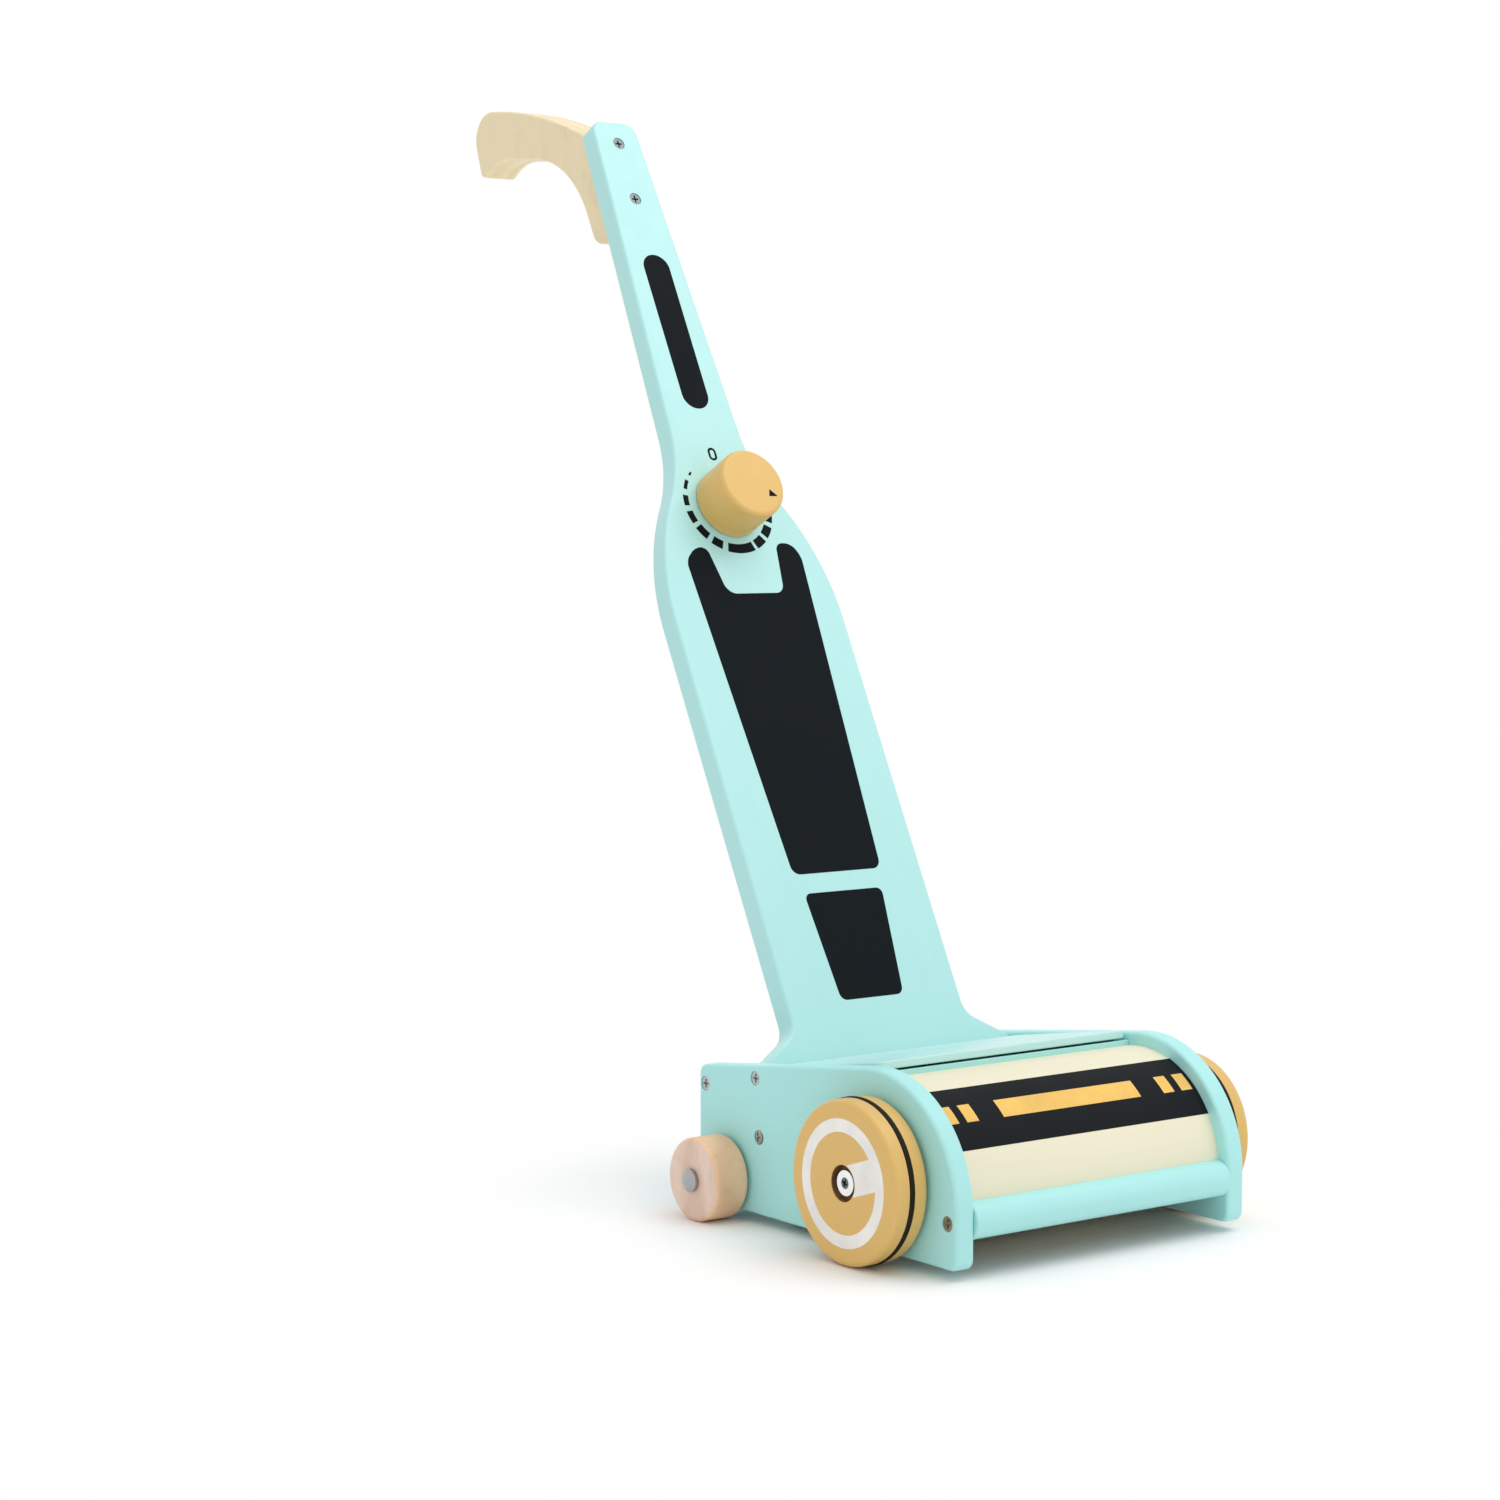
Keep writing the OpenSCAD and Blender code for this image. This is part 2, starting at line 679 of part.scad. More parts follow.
module side_screws_right() { color(steel) placed() side_screws(1); }

module hatch_pivot_screw(side) {
  on_panel(side, pivot_spot[0], pivot_spot[1]) wood_screw(screw_len);
}

module hatch_pivot_screw_left() { color(steel) placed() hatch_pivot_screw(-1); }

module hatch_pivot_screw_right() { color(steel) placed() hatch_pivot_screw(1); }

// A flanged bush, pressed into a side panel from outside
module axle_bush(side) {
  on_panel(side, 0, axle_z) difference() {
    union() {
      translate([0, 0, -panel_t]) cylinder(r = bush_d / 2, h = panel_t);
      cylinder(r = bush_flange_d / 2, h = bush_flange_t);
    }
    translate([0, 0, -panel_t - cut])
      cylinder(r = front_axle_d / 2 + run_play, h = panel_t + bush_flange_t + 2 * cut);
  }
}

module axle_bush_left() { color(nylon) placed() axle_bush(-1); }

module axle_bush_right() { color(nylon) placed() axle_bush(1); }

module rear_axle() {
  color(steel) placed() rod(wheelbase, rear_z, rear_axle_d / 2, -rear_rod_x, rear_rod_x);
}

// A domed cap on the end of the rear axle
module rear_axle_cap(side) {
  dome_r = (pow(cap_d / 2, 2) + pow(cap_len / 2, 2)) / cap_len;
  translate([side * cap_x, wheelbase, rear_z]) rotate([0, side * 90, 0]) difference() {
    intersection() {
      cylinder(r = cap_d / 2, h = cap_len);
      union() {
        cylinder(r = cap_d / 2, h = cap_len / 2);
        translate([0, 0, cap_len - dome_r]) sphere(r = dome_r);
      }
    }
    translate([0, 0, -cut]) cylinder(r = rear_axle_d / 2 + seat_play, h = cap_len - cap_wall + cut);
  }
}

module rear_axle_cap_left() { color(steel) placed() rear_axle_cap(-1); }

module rear_axle_cap_right() { color(steel) placed() rear_axle_cap(1); }

module rear_washers() {
  color(nylon) placed() for (side = [-1, 1]) {
    on_panel(side, wheelbase, rear_z) difference() {
      cylinder(r = rear_washer_d / 2, h = rear_washer_t);
      translate([0, 0, -cut]) cylinder(r = rear_axle_d / 2 + seat_play, h = rear_washer_t + 2 * cut);
    }
  }
}

module knob_washer() {
  color(steel) placed() on_board() translate([0, knob_s, -board_t - knob_washer_t]) difference() {
    cylinder(r = knob_washer_d / 2, h = knob_washer_t);
    translate([0, 0, -cut]) cylinder(r = knob_screw_d / 2 + run_play, h = knob_washer_t + 2 * cut);
  }
}

module front_axle() {
  color(steel) placed() difference() {
    rod(0, axle_z, front_axle_d / 2, -hub_floor_x, hub_floor_x);
    at_hubs() translate([0, 0, -wheel_screw_len])
      cylinder(r = wheel_screw_d / 2 + seat_play, h = wheel_screw_len + cut);
  }
}

// Places one child at each magnet's seat, with Z pointing out of the roller
module at_magnets() {
  seat_r = drum_d / 2 - magnet_sink - magnet_t;
  first_x = -(magnets_per_row - 1) / 2 * magnet_pitch;
  for (row = [0 : magnet_rows - 1], i = [0 : magnets_per_row - 1]) {
    translate([first_x + i * magnet_pitch, 0, axle_z]) rotate([row * 360 / magnet_rows, 0, 0])
      translate([0, 0, seat_r]) children();
  }
}

module roller_drum() {
  color(birch) placed() difference() {
    rod(0, axle_z, drum_d / 2, -drum_x, drum_x);
    rod(0, axle_z, front_axle_d / 2 + seat_play, -drum_x - cut, drum_x + cut);
    at_magnets() cylinder(r = magnet_d / 2 + seat_play, h = drum_d);
  }
}

module roller_magnets() {
  color(magnet_grey) placed() at_magnets() cylinder(r = magnet_d / 2, h = magnet_t);
}

// A front wheel, its hub recess outwards, with a groove for the rubber ring round its rim
module front_wheel(side) {
  translate([side * wheel_in_x, 0, axle_z]) rotate([0, side * 90, 0]) difference() {
    round_disc(front_wheel_r, front_wheel_w, front_rim_r);
    translate([0, 0, front_wheel_w / 2 - ring_w / 2 - seat_play]) difference() {
      cylinder(r = front_wheel_d, h = ring_w + 2 * seat_play);
      translate([0, 0, -cut]) cylinder(r = groove_r - seat_play, h = ring_w + 3 * cut);
    }
    translate([0, 0, -cut]) cylinder(r = front_axle_d / 2 + seat_play, h = front_wheel_w + 2 * cut);
    translate([0, 0, front_wheel_w - hub_recess_depth])
      cylinder(r = hub_recess_d / 2, h = hub_recess_depth + cut);
  }
}

module front_wheel_left() { color(mustard) placed() front_wheel(-1); }

module front_wheel_right() { color(mustard) placed() front_wheel(1); }

module wheel_ring(side) {
  crown = ring_proud / 2;
  translate([side * (wheel_in_x + front_wheel_w / 2), 0, axle_z]) rotate([0, side * 90, 0])
    rotate_extrude() polygon([
      [groove_r, -ring_w / 2],
      [front_wheel_d / 2 - crown, -ring_w / 2],
      [front_wheel_d / 2, -ring_w / 2 + crown],
      [front_wheel_d / 2, ring_w / 2 - crown],
      [front_wheel_d / 2 - crown, ring_w / 2],
      [groove_r, ring_w / 2]
    ]);
}

module wheel_ring_left() { color(rubber) placed() wheel_ring(-1); }

module wheel_ring_right() { color(rubber) placed() wheel_ring(1); }

// Places its child on the floor of each hub recess, with Z pointing out
module at_hubs() {
  for (side = [-1, 1]) {
    translate([side * hub_floor_x, 0, axle_z]) rotate([0, side * 90, 0]) children();
  }
}

module wheel_washers() {
  color(steel) placed() at_hubs() difference() {
    cylinder(r = wheel_washer_d / 2, h = wheel_washer_t);
    translate([0, 0, -cut]) cylinder(r = wheel_screw_d / 2 + seat_play, h = wheel_washer_t + 2 * cut);
  }
}

module wheel_screws() {
  shank_z = cut - wheel_screw_len;
  color(steel) placed() at_hubs() difference() {
    union() {
      translate([0, 0, shank_z]) cylinder(r = wheel_screw_d / 2, h = wheel_washer_t + cut - shank_z);
      translate([0, 0, wheel_washer_t]) cylinder(r = wheel_screw_head_d / 2, h = wheel_screw_head_h);
    }
    translate([0, 0, wheel_washer_t + wheel_screw_head_h]) cross_recess(wheel_recess_span);
  }
}

module rear_wheel(side) {
  translate([side * rear_in_x, wheelbase, rear_z]) rotate([0, side * 90, 0]) difference() {
    round_disc(rear_wheel_d / 2, rear_wheel_w, rear_rim_r);
    translate([0, 0, -cut]) cylinder(r = rear_axle_d / 2 + run_play, h = rear_wheel_w + 2 * cut);
  }
}

module rear_wheel_left() { color(beech) placed() rear_wheel(-1); }

module rear_wheel_right() { color(beech) placed() rear_wheel(1); }

module control_knob() {
  knob_r = knob_d / 2;
  body_h = knob_h - face_play;
  color(mustard) placed() on_board() translate([0, knob_s, face_play]) difference() {
    rotate_extrude() {
      square([knob_r - knob_round_r, body_h]);
      square([knob_r, body_h - knob_round_r]);
      translate([knob_r - knob_round_r, body_h - knob_round_r]) circle(knob_round_r);
    }
    translate([0, 0, -cut]) cylinder(r = knob_screw_d / 2 + seat_play, h = knob_grab + cut);
  }
}

// The knob's screw, put in from behind the board through its washer
module knob_screw() {
  head_z = -board_t - knob_washer_t - face_play;
  color(steel) placed() on_board() translate([0, knob_s, 0]) difference() {
    union() {
      translate([0, 0, head_z - cut]) cylinder(r = knob_screw_d / 2, h = knob_grab - head_z + cut);
      translate([0, 0, head_z - knob_head_h]) cylinder(r = knob_head_d / 2, h = knob_head_h);
    }
    translate([0, 0, head_z - knob_head_h]) mirror([0, 0, 1]) cross_recess(knob_recess_span);
  }
}

module hatch_outline() {
  polygon(concat(
    [[lid_x, lid_tail]],
    [[-lid_x, lid_tail]],
    arc(-lid_x + lid_corner_r, -lid_len + lid_corner_r, lid_corner_r, 180, 270, short_step),
    arc(lid_x - lid_corner_r, -lid_len + lid_corner_r, lid_corner_r, 270, 360, short_step)
  ));
}

// The two bores for the pivot screws, drilled from the ends once the dowel is glued to the hatch
module pivot_bores() {
  for (side = [-1, 1]) {
    rod(lid_pivot_y, lid_pivot_z, screw_d / 2 + run_play, side * lid_x - screw_len, side * lid_x + screw_len);
  }
}

module hatch_board() {
  color(mint) placed() difference() {
    on_hatch() translate([0, 0, lid_under]) soft_plate(lid_t, lid_edge_r) hatch_outline();
    pivot_bores();
  }
}

// The dowel glued under the hatch's rear edge, turning on the two pivot screws
module hatch_hinge_dowel() {
  color(mint) placed() difference() {
    rod(lid_pivot_y, lid_pivot_z, lid_dowel_r, -lid_x, lid_x);
    on_hatch() translate([-panel_x, -far, lid_under]) cube([body_w, far + lid_tail, far]);
    pivot_bores();
  }
}

side_panel_left();
side_panel_right();
rear_panel();
front_cover();
cover_rail();
front_bar();
bin_ramp();
handle_board();
handle_grip();
grip_screws();
side_screws_left();
side_screws_right();
hatch_pivot_screw_left();
hatch_pivot_screw_right();
axle_bush_left();
axle_bush_right();
rear_axle();
rear_axle_cap_left();
rear_axle_cap_right();
rear_washers();
knob_washer();
front_axle();
roller_drum();
roller_magnets();
front_wheel_left();
front_wheel_right();
wheel_ring_left();
wheel_ring_right();
wheel_washers();
wheel_screws();
rear_wheel_left();
rear_wheel_right();
control_knob();
knob_screw();
hatch_board();
hatch_hinge_dowel();
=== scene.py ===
"""Looks of a wooden toy vacuum cleaner: painted panels, prints, turned wheels and knob, bare wood grip."""
import math

import bmesh
import bpy
from mathutils import Matrix, Vector


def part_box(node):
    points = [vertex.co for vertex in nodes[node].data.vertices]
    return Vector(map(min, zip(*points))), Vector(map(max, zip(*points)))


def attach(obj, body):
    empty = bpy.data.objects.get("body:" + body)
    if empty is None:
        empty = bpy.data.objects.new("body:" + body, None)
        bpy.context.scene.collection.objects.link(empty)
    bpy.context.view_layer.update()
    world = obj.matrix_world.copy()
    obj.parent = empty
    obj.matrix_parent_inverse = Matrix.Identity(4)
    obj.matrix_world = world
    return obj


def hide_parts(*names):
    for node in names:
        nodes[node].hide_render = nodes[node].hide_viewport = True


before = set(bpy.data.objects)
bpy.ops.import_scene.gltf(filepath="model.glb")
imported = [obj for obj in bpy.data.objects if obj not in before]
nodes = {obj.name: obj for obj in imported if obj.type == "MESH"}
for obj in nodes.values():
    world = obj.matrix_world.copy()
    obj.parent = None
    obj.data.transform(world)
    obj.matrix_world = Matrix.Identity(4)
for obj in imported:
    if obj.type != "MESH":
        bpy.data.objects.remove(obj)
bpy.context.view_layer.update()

MM = 0.001

# Sizes in millimetres, counted from the front axle and the floor, and on the board and the hatch from the
# face's own origin
PANEL_X, PANEL_T, PANEL_EDGE = 93.0, 11.0, 2.0
INNER_X = PANEL_X - PANEL_T
NOSE_Y, NOSE_Z, NOSE_R = 5.0, 29.5, 62.0
PANEL_FRONT, PANEL_REAR, PANEL_LOW, PANEL_CORNER = -57.0, 145.0, 5.0, 5.0
TOP_FALL = math.radians(7.4)
COVER_R, COVER_T = 55.4, 3.4
COVER_SPAN, BAND_SPAN, DASH_SPAN = (80.2, 173.4), (111.0, 149.4), (123.8, 134.7)
COVER_DASHES = ((0.0, 89.0), (-63.6, 7.2), (63.6, 7.2), (-75.8, 7.2), (75.8, 7.2))
BAR_Y, BAR_Z, BAR_R, BAR_EDGE = -50.2, 26.9, 9.0, 0.8
RAIL_Y, RAIL_DEPTH, RAIL_H, RAIL_GAP, RAIL_EDGE = 14.4, 11.0, 14.0, 1.1, 0.5
BACK_Y, BACK_LOW, BACK_TOP, BACK_EDGE = 134.0, 9.0, 70.26, 1.2
BOARD_Y, BOARD_Z, BOARD_T, BOARD_EDGE, BOARD_TOP = 117.0, 100.0, 13.0, 2.0, 531.0
LEAN = math.radians(27)
LID_FALL = math.radians(9.4)
LID_Y, LID_Z, LID_T, LID_LIFT = 97.502, 73.407, 4.0, 0.8
WHEEL_X, WHEEL_Z, WHEEL_W, WHEEL_R, RIM_R = 95.0, 40.0, 20.0, 39.5, 3.0
HUB_R, HUB_FLOOR, HUB_EDGE, AXLE_BORE = 8.7, 15.5, 0.6, 5.02
RING_R, RING_SEAT, RING_HALF, RING_EDGE = 40.0, 37.0, 1.6, 1.0
REAR_X, REAR_Y, REAR_Z, REAR_W, REAR_R, ROD_BORE = 94.5, 120.6, 21.0, 20.5, 21.0, 3.05
KNOB_S, KNOB_R, KNOB_H, KNOB_EDGE = 288.5, 20.0, 27.0, 2.5
DIAL_R = 26.6
INK = 0.08
PANEL_SCREWS = [(BAR_Y, BAR_Z), (94.4, 44.2), ((BACK_Y + PANEL_REAR) / 2, 64.77),
                ((BACK_Y + PANEL_REAR) / 2, 21.0), (LID_Y, LID_Z)]
GRIP_SCREWS = [(0, 480.6), (0, 516.6)]
CRISP = math.radians(34)

axle_low, axle_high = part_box("front_axle")
AXLE_Y = (axle_low.y + axle_high.y) / 2


# Frames in which pieces are drawn: across, up and out of a face
def frame_of(across, up, out, y, z, x=0.0):
    turn = Matrix((across, up, out)).transposed().to_4x4()
    return Matrix.Translation((x * MM, AXLE_Y + y * MM, z * MM)) @ turn @ Matrix.Scale(MM, 4)


def side_frame(side, x, y=0.0, z=0.0):
    """Across is to the rear, up is up, and out is away from the middle."""
    return frame_of((0, 1, 0), (0, 0, 1), (side, 0, 0), y, z, side * x)


ON_BOARD = frame_of((1, 0, 0), (0, math.sin(LEAN), math.cos(LEAN)),
                    (0, -math.cos(LEAN), math.sin(LEAN)), BOARD_Y, BOARD_Z)
ON_HATCH = frame_of((1, 0, 0), (0, math.cos(LID_FALL), -math.sin(LID_FALL)),
                    (0, math.sin(LID_FALL), math.cos(LID_FALL)), LID_Y, LID_Z)
ON_NOSE = frame_of((1, 0, 0), (0, 1, 0), (0, 0, 1), NOSE_Y, NOSE_Z)
ALONG_X = side_frame(1, 0.0)


# Drawing outlines with operators
def put(bm, x, y):
    return bmesh.ops.create_vert(bm, co=(x, y, 0))["vert"][0]


def go(bm, vert, x, y):
    new = bmesh.ops.extrude_vert_indiv(bm, verts=[vert])["verts"][0]
    new.co = (x, y, 0)
    return new


def lines(bm, vert, *points):
    """Straight lines on from a vertex, through some points."""
    for x, y in points:
        vert = go(bm, vert, x, y)
    return vert


def bend(bm, vert, x, y, degrees, steps):
    """An arc on from a vertex, round a centre."""
    made = bmesh.ops.spin(bm, geom=[vert], cent=(x, y, 0), axis=(0, 0, 1), angle=math.radians(degrees),
                          steps=steps)
    return only_verts(made["geom_last"])[0]


def only_verts(geom):
    return [g for g in geom if isinstance(g, bmesh.types.BMVert)]


def fill(bm, first, last):
    if first is not last:
        bm.edges.new((last, first))
    bmesh.ops.contextual_create(bm, geom=bm.edges[:])


def outline(points):
    """A flat face from its few corners."""
    bm = bmesh.new()
    first = put(bm, *points[0])
    fill(bm, first, lines(bm, first, *points[1:]))
    return bm


def oblong(left, right, low, high):
    return outline([(left, low), (right, low), (right, high), (left, high)])


def swing(bm, degrees, axis="Z", centre=(0, 0, 0)):
    turn = Matrix.Rotation(math.radians(degrees), 3, axis)
    bmesh.ops.rotate(bm, cent=centre, matrix=turn, verts=bm.verts[:])


def thicken(bm, low, high):
    """Turns the drawn face into a plate between two heights."""
    bmesh.ops.translate(bm, vec=(0, 0, low), verts=bm.verts[:])
    made = bmesh.ops.extrude_face_region(bm, geom=bm.faces[:])
    bmesh.ops.translate(bm, vec=(0, 0, high - low), verts=only_verts(made["geom"]))
    bmesh.ops.recalc_face_normals(bm, faces=bm.faces[:])


def round_off(bm, geom, r, segments, kind="EDGES"):
    bmesh.ops.bevel(bm, geom=geom, offset=r, offset_type="OFFSET", segments=segments, profile=0.5,
                    affect=kind, material=-1)


def soften(bm, r, segments):
    """Rounds the edges around both faces of a plate."""
    rims = [e for e in bm.edges if abs(e.verts[0].co.z - e.verts[1].co.z) < 1e-6]
    round_off(bm, rims, r, segments)


def round_corners(bm, corners, r, segments):
    round_off(bm, corners, r, segments, "VERTICES")


def merge(bm, dist=1e-4):
    bmesh.ops.remove_doubles(bm, verts=bm.verts[:], dist=dist)


def full_turn(bm, steps):
    bmesh.ops.spin(bm, geom=bm.verts[:] + bm.edges[:], cent=(0, 0, 0), axis=(0, 0, 1), angle=2 * math.pi,
                   steps=steps, use_merge=True)
    merge(bm)


def turn_on_lathe(bm, steps):
    """Spins a half section, drawn as radius and height, round the height axis."""
    swing(bm, 90, "X")
    full_turn(bm, steps)
    bmesh.ops.recalc_face_normals(bm, faces=bm.faces[:])


# Finishing pieces
def piece(name, bm, place, finish, body, slot, *stands_for):
    """Makes an object of a drawn shape, moved to its place, and ties it to its body."""
    bm.transform(place)
    bm.normal_update()
    bmesh.ops.recalc_face_normals(bm, faces=bm.faces[:])
    mesh = bpy.data.meshes.new(name)
    bm.to_mesh(mesh)
    bm.free()
    obj = bpy.data.objects.new(name, mesh)
    bpy.context.scene.collection.objects.link(obj)
    mesh.materials.append(finish)
    smooth(obj)
    even = obj.modifiers.new("even_shading", "WEIGHTED_NORMAL")
    even.keep_sharp = True
    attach(obj, body)
    if stands_for:
        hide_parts(*stands_for)
    return obj


def smooth(obj):
    obj.data.shade_smooth()
    obj.data.set_sharp_from_angle(angle=CRISP)


def carve(obj, cutter_bm, place):
    """Cuts a shape out of a finished piece."""
    cutter_bm.transform(place)
    cutter_bm.normal_update()
    bmesh.ops.recalc_face_normals(cutter_bm, faces=cutter_bm.faces[:])
    mesh = bpy.data.meshes.new("cutter")
    cutter_bm.to_mesh(mesh)
    cutter_bm.free()
    tool = bpy.data.objects.new("cutter", mesh)
    bpy.context.scene.collection.objects.link(tool)
    cut = obj.modifiers.new("cut", "BOOLEAN")
    cut.operation = "DIFFERENCE"
    cut.solver = "EXACT"
    cut.object = tool
    even = obj.modifiers["even_shading"]
    even.show_viewport = False
    bpy.context.view_layer.update()
    result = bpy.data.meshes.new_from_object(obj.evaluated_get(bpy.context.evaluated_depsgraph_get()))
    obj.modifiers.remove(cut)
    even.show_viewport = True
    old = obj.data
    obj.data = result
    result.name = obj.name
    bpy.data.meshes.remove(old)
    bpy.data.objects.remove(tool)
    bpy.data.meshes.remove(mesh)
    smooth(obj)


def screw_seats(spots):
    """Countersunk holes at places on a face, one mesh for all."""
    head, shank, cone, deep, above = 3.76, 2.04, 2.42, 34.4, 2.0
    bm = bmesh.new()
    last = lines(bm, put(bm, 0, -deep), (shank, -deep), (shank, -cone), (head, -cone + head - shank))
    lines(bm, last, (head, above), (0, above))
    turn_on_lathe(bm, 48)
    one = bm.verts[:] + bm.edges[:] + bm.faces[:]
    for x, y in spots[1:]:
        made = bmesh.ops.duplicate(bm, geom=one)
        bmesh.ops.translate(bm, vec=(x, y, 0), verts=only_verts(made["geom"]))
    bmesh.ops.translate(bm, vec=(*spots[0], 0), verts=only_verts(one))
    return bm


# Finishes
class Finish:
    """A material whose nodes are added one by one."""

    def __init__(self, name):
        self.material = bpy.data.materials.new(name)
        self.material.use_nodes = True
        self.tree = self.material.node_tree
        self.tree.nodes.clear()
        self.out = self.tree.nodes.new("ShaderNodeOutputMaterial")
        self.shader = self.tree.nodes.new("ShaderNodeBsdfPrincipled")
        self.tree.links.new(self.shader.outputs["BSDF"], self.out.inputs["Surface"])
        self.place = self.tree.nodes.new("ShaderNodeTexCoord").outputs["Object"]

    def node(self, kind, links=None, **values):
        new = self.tree.nodes.new(kind)
        for key, value in values.items():
            if key in new.inputs:
                new.inputs[key].default_value = value
            else:
                setattr(new, key, value)
        for key, source in (links or {}).items():
            self.tree.links.new(source, new.inputs[key])
        return new

    def feed(self, socket, value):
        """Links another node's output, or sets a plain value."""
        if isinstance(value, bpy.types.NodeSocket):
            self.tree.links.new(value, socket)
        else:
            socket.default_value = value

    def set(self, **values):
        for key, value in values.items():
            self.feed(self.shader.inputs[key.replace("_", " ")], value)

    def stretched(self, scale, turn=(0, 0, 0)):
        made = self.node("ShaderNodeMapping", {"Vector": self.place}, Scale=scale, Rotation=turn)
        return made.outputs["Vector"]

    def noise(self, scale, detail=3.0, roughness=0.5, vector=None):
        made = self.node("ShaderNodeTexNoise", {"Vector": vector or self.place}, Scale=scale, Detail=detail,
                         Roughness=roughness)
        return made.outputs["Fac"]

    def between(self, source, low, high, start=0.3, end=0.7, **style):
        made = self.node("ShaderNodeMapRange", {"Value": source}, **style)
        for key, value in (("From Min", start), ("From Max", end), ("To Min", low), ("To Max", high)):
            made.inputs[key].default_value = value
        return made.outputs["Result"]

    def ramp(self, source, *stops):
        made = self.node("ShaderNodeValToRGB", {"Fac": source})
        for element, (where, colour) in zip(made.color_ramp.elements, stops):
            element.position = where
            element.color = colour
        return made.outputs["Color"]

    def mix(self, factor, first, second):
        made = self.node("ShaderNodeMix", data_type="RGBA", blend_type="MIX")
        for socket, value in ((made.inputs[0], factor), (made.inputs[6], first), (made.inputs[7], second)):
            self.feed(socket, value)
        return made.outputs[2]

    def bump(self, height, strength, distance, under=None):
        links = {"Height": height}
        if under:
            links["Normal"] = under
        return self.node("ShaderNodeBump", links, Strength=strength, Distance=distance).outputs["Normal"]


def seen(r, g, b):
    """A colour as it is seen on a screen, turned into linear light."""
    linear = [v / 255 / 12.92 if v <= 10 else ((v / 255 + 0.055) / 1.055) ** 2.4 for v in (r, g, b)]
    return (*linear, 1.0)


def shade(colour, k):
    return tuple(min(1.0, c * k) for c in colour[:3]) + (1.0,)


def paint(name, colour, grain, gloss=0.42, sheen=0.26):
    """Sprayed satin paint that lets a little of the wood's grain show."""
    f = Finish(name)
    cloud = f.noise(9.0, 4.0)
    fibre = f.noise(160.0, 4.0, 0.6, f.stretched(grain))
    peel = f.noise(1100.0, 2.0)
    base = f.ramp(cloud, (0.3, shade(colour, 0.965)), (0.7, shade(colour, 1.02)))
    streak = f.ramp(fibre, (0.35, shade(colour, 0.97)), (0.65, shade(colour, 1.01)))
    f.set(Base_Color=f.mix(0.4, base, streak))
    f.set(Roughness=f.between(f.noise(60.0, 3.0), gloss - 0.05, gloss + 0.07))
    low = f.bump(fibre, 0.10, 0.0003)
    f.set(Normal=f.bump(peel, 0.06, 0.0002, low), Specular_IOR_Level=sheen)
    return f.material


def printed(name, colour, gloss=0.5, sheen=0.12):
    """Screen-printed ink with a dry, slightly uneven film."""
    f = Finish(name)
    film = f.noise(45.0, 5.0, 0.6)
    speck = f.noise(1400.0, 2.0)
    base = f.ramp(film, (0.3, shade(colour, 0.88)), (0.7, shade(colour, 1.1)))
    f.set(Base_Color=f.mix(f.between(speck, 0.0, 0.25), base, shade(colour, 1.25)))
    f.set(Roughness=f.between(film, gloss - 0.06, gloss + 0.08), Specular_IOR_Level=sheen)
    f.set(Normal=f.bump(speck, 0.08, 0.0002))
    return f.material


def timber(name, light, dark, along, turn=(0, 0, 0), rings=26.0, gloss=0.5):
    """Bare lacquered wood: soft growth bands, fine pores and short flecks along the grain."""
    f = Finish(name)
    grain = f.stretched(along, turn)
    wave = f.node("ShaderNodeTexWave", {"Vector": grain}, wave_type="BANDS", bands_direction="X",
                  wave_profile="SIN", Scale=rings, Distortion=7.0, Detail=3.0)
    wave.inputs["Detail Scale"].default_value = 1.2
    bands = wave.outputs["Fac"]
    pores = f.noise(420.0, 3.0, 0.6, grain)
    cloud = f.noise(16.0, 3.0)
    tone = f.ramp(bands, (0.1, light), (0.9, dark))
    tone = f.mix(f.between(cloud, 0.0, 0.35), tone, light)
    f.set(Base_Color=f.mix(f.between(pores, 0.0, 0.4, 0.52, 0.75), tone, shade(dark, 0.82)))
    f.set(Roughness=f.between(pores, gloss - 0.06, gloss + 0.1), Specular_IOR_Level=0.35)
    f.set(Normal=f.bump(pores, 0.12, 0.0003, f.bump(bands, 0.05, 0.0003)))
    return f.material


def metal(name, colour, rough, scratch):
    """Plated or polished metal with fine scratches."""
    f = Finish(name)
    marks = f.noise(900.0, 3.0, 0.6, f.stretched(scratch))
    cloud = f.noise(120.0, 2.0)
    f.set(Base_Color=f.ramp(cloud, (0.3, shade(colour, 0.9)), (0.7, colour)), Metallic=1.0)
    f.set(Roughness=f.between(marks, rough - 0.06, rough + 0.1), Normal=f.bump(marks, 0.06, 0.0001))
    return f.material


def rubbery(name, colour):
    """Matt rubber with a little dust."""
    f = Finish(name)
    dust = f.noise(300.0, 4.0, 0.65)
    f.set(Base_Color=f.ramp(dust, (0.35, colour), (0.75, shade(colour, 1.7))))
    f.set(Roughness=f.between(dust, 0.55, 0.8), Specular_IOR_Level=0.15)
    f.set(Normal=f.bump(dust, 0.15, 0.0002))
    return f.material


def moulded(name, colour):
    """Moulded plastic with a fine skin."""
    f = Finish(name)
    skin = f.noise(700.0, 2.0)
    f.set(Base_Color=f.ramp(f.noise(40.0, 3.0), (0.3, shade(colour, 0.95)), (0.7, colour)))
    f.set(Roughness=f.between(skin, 0.35, 0.5), Normal=f.bump(skin, 0.06, 0.0002))
    return f.material


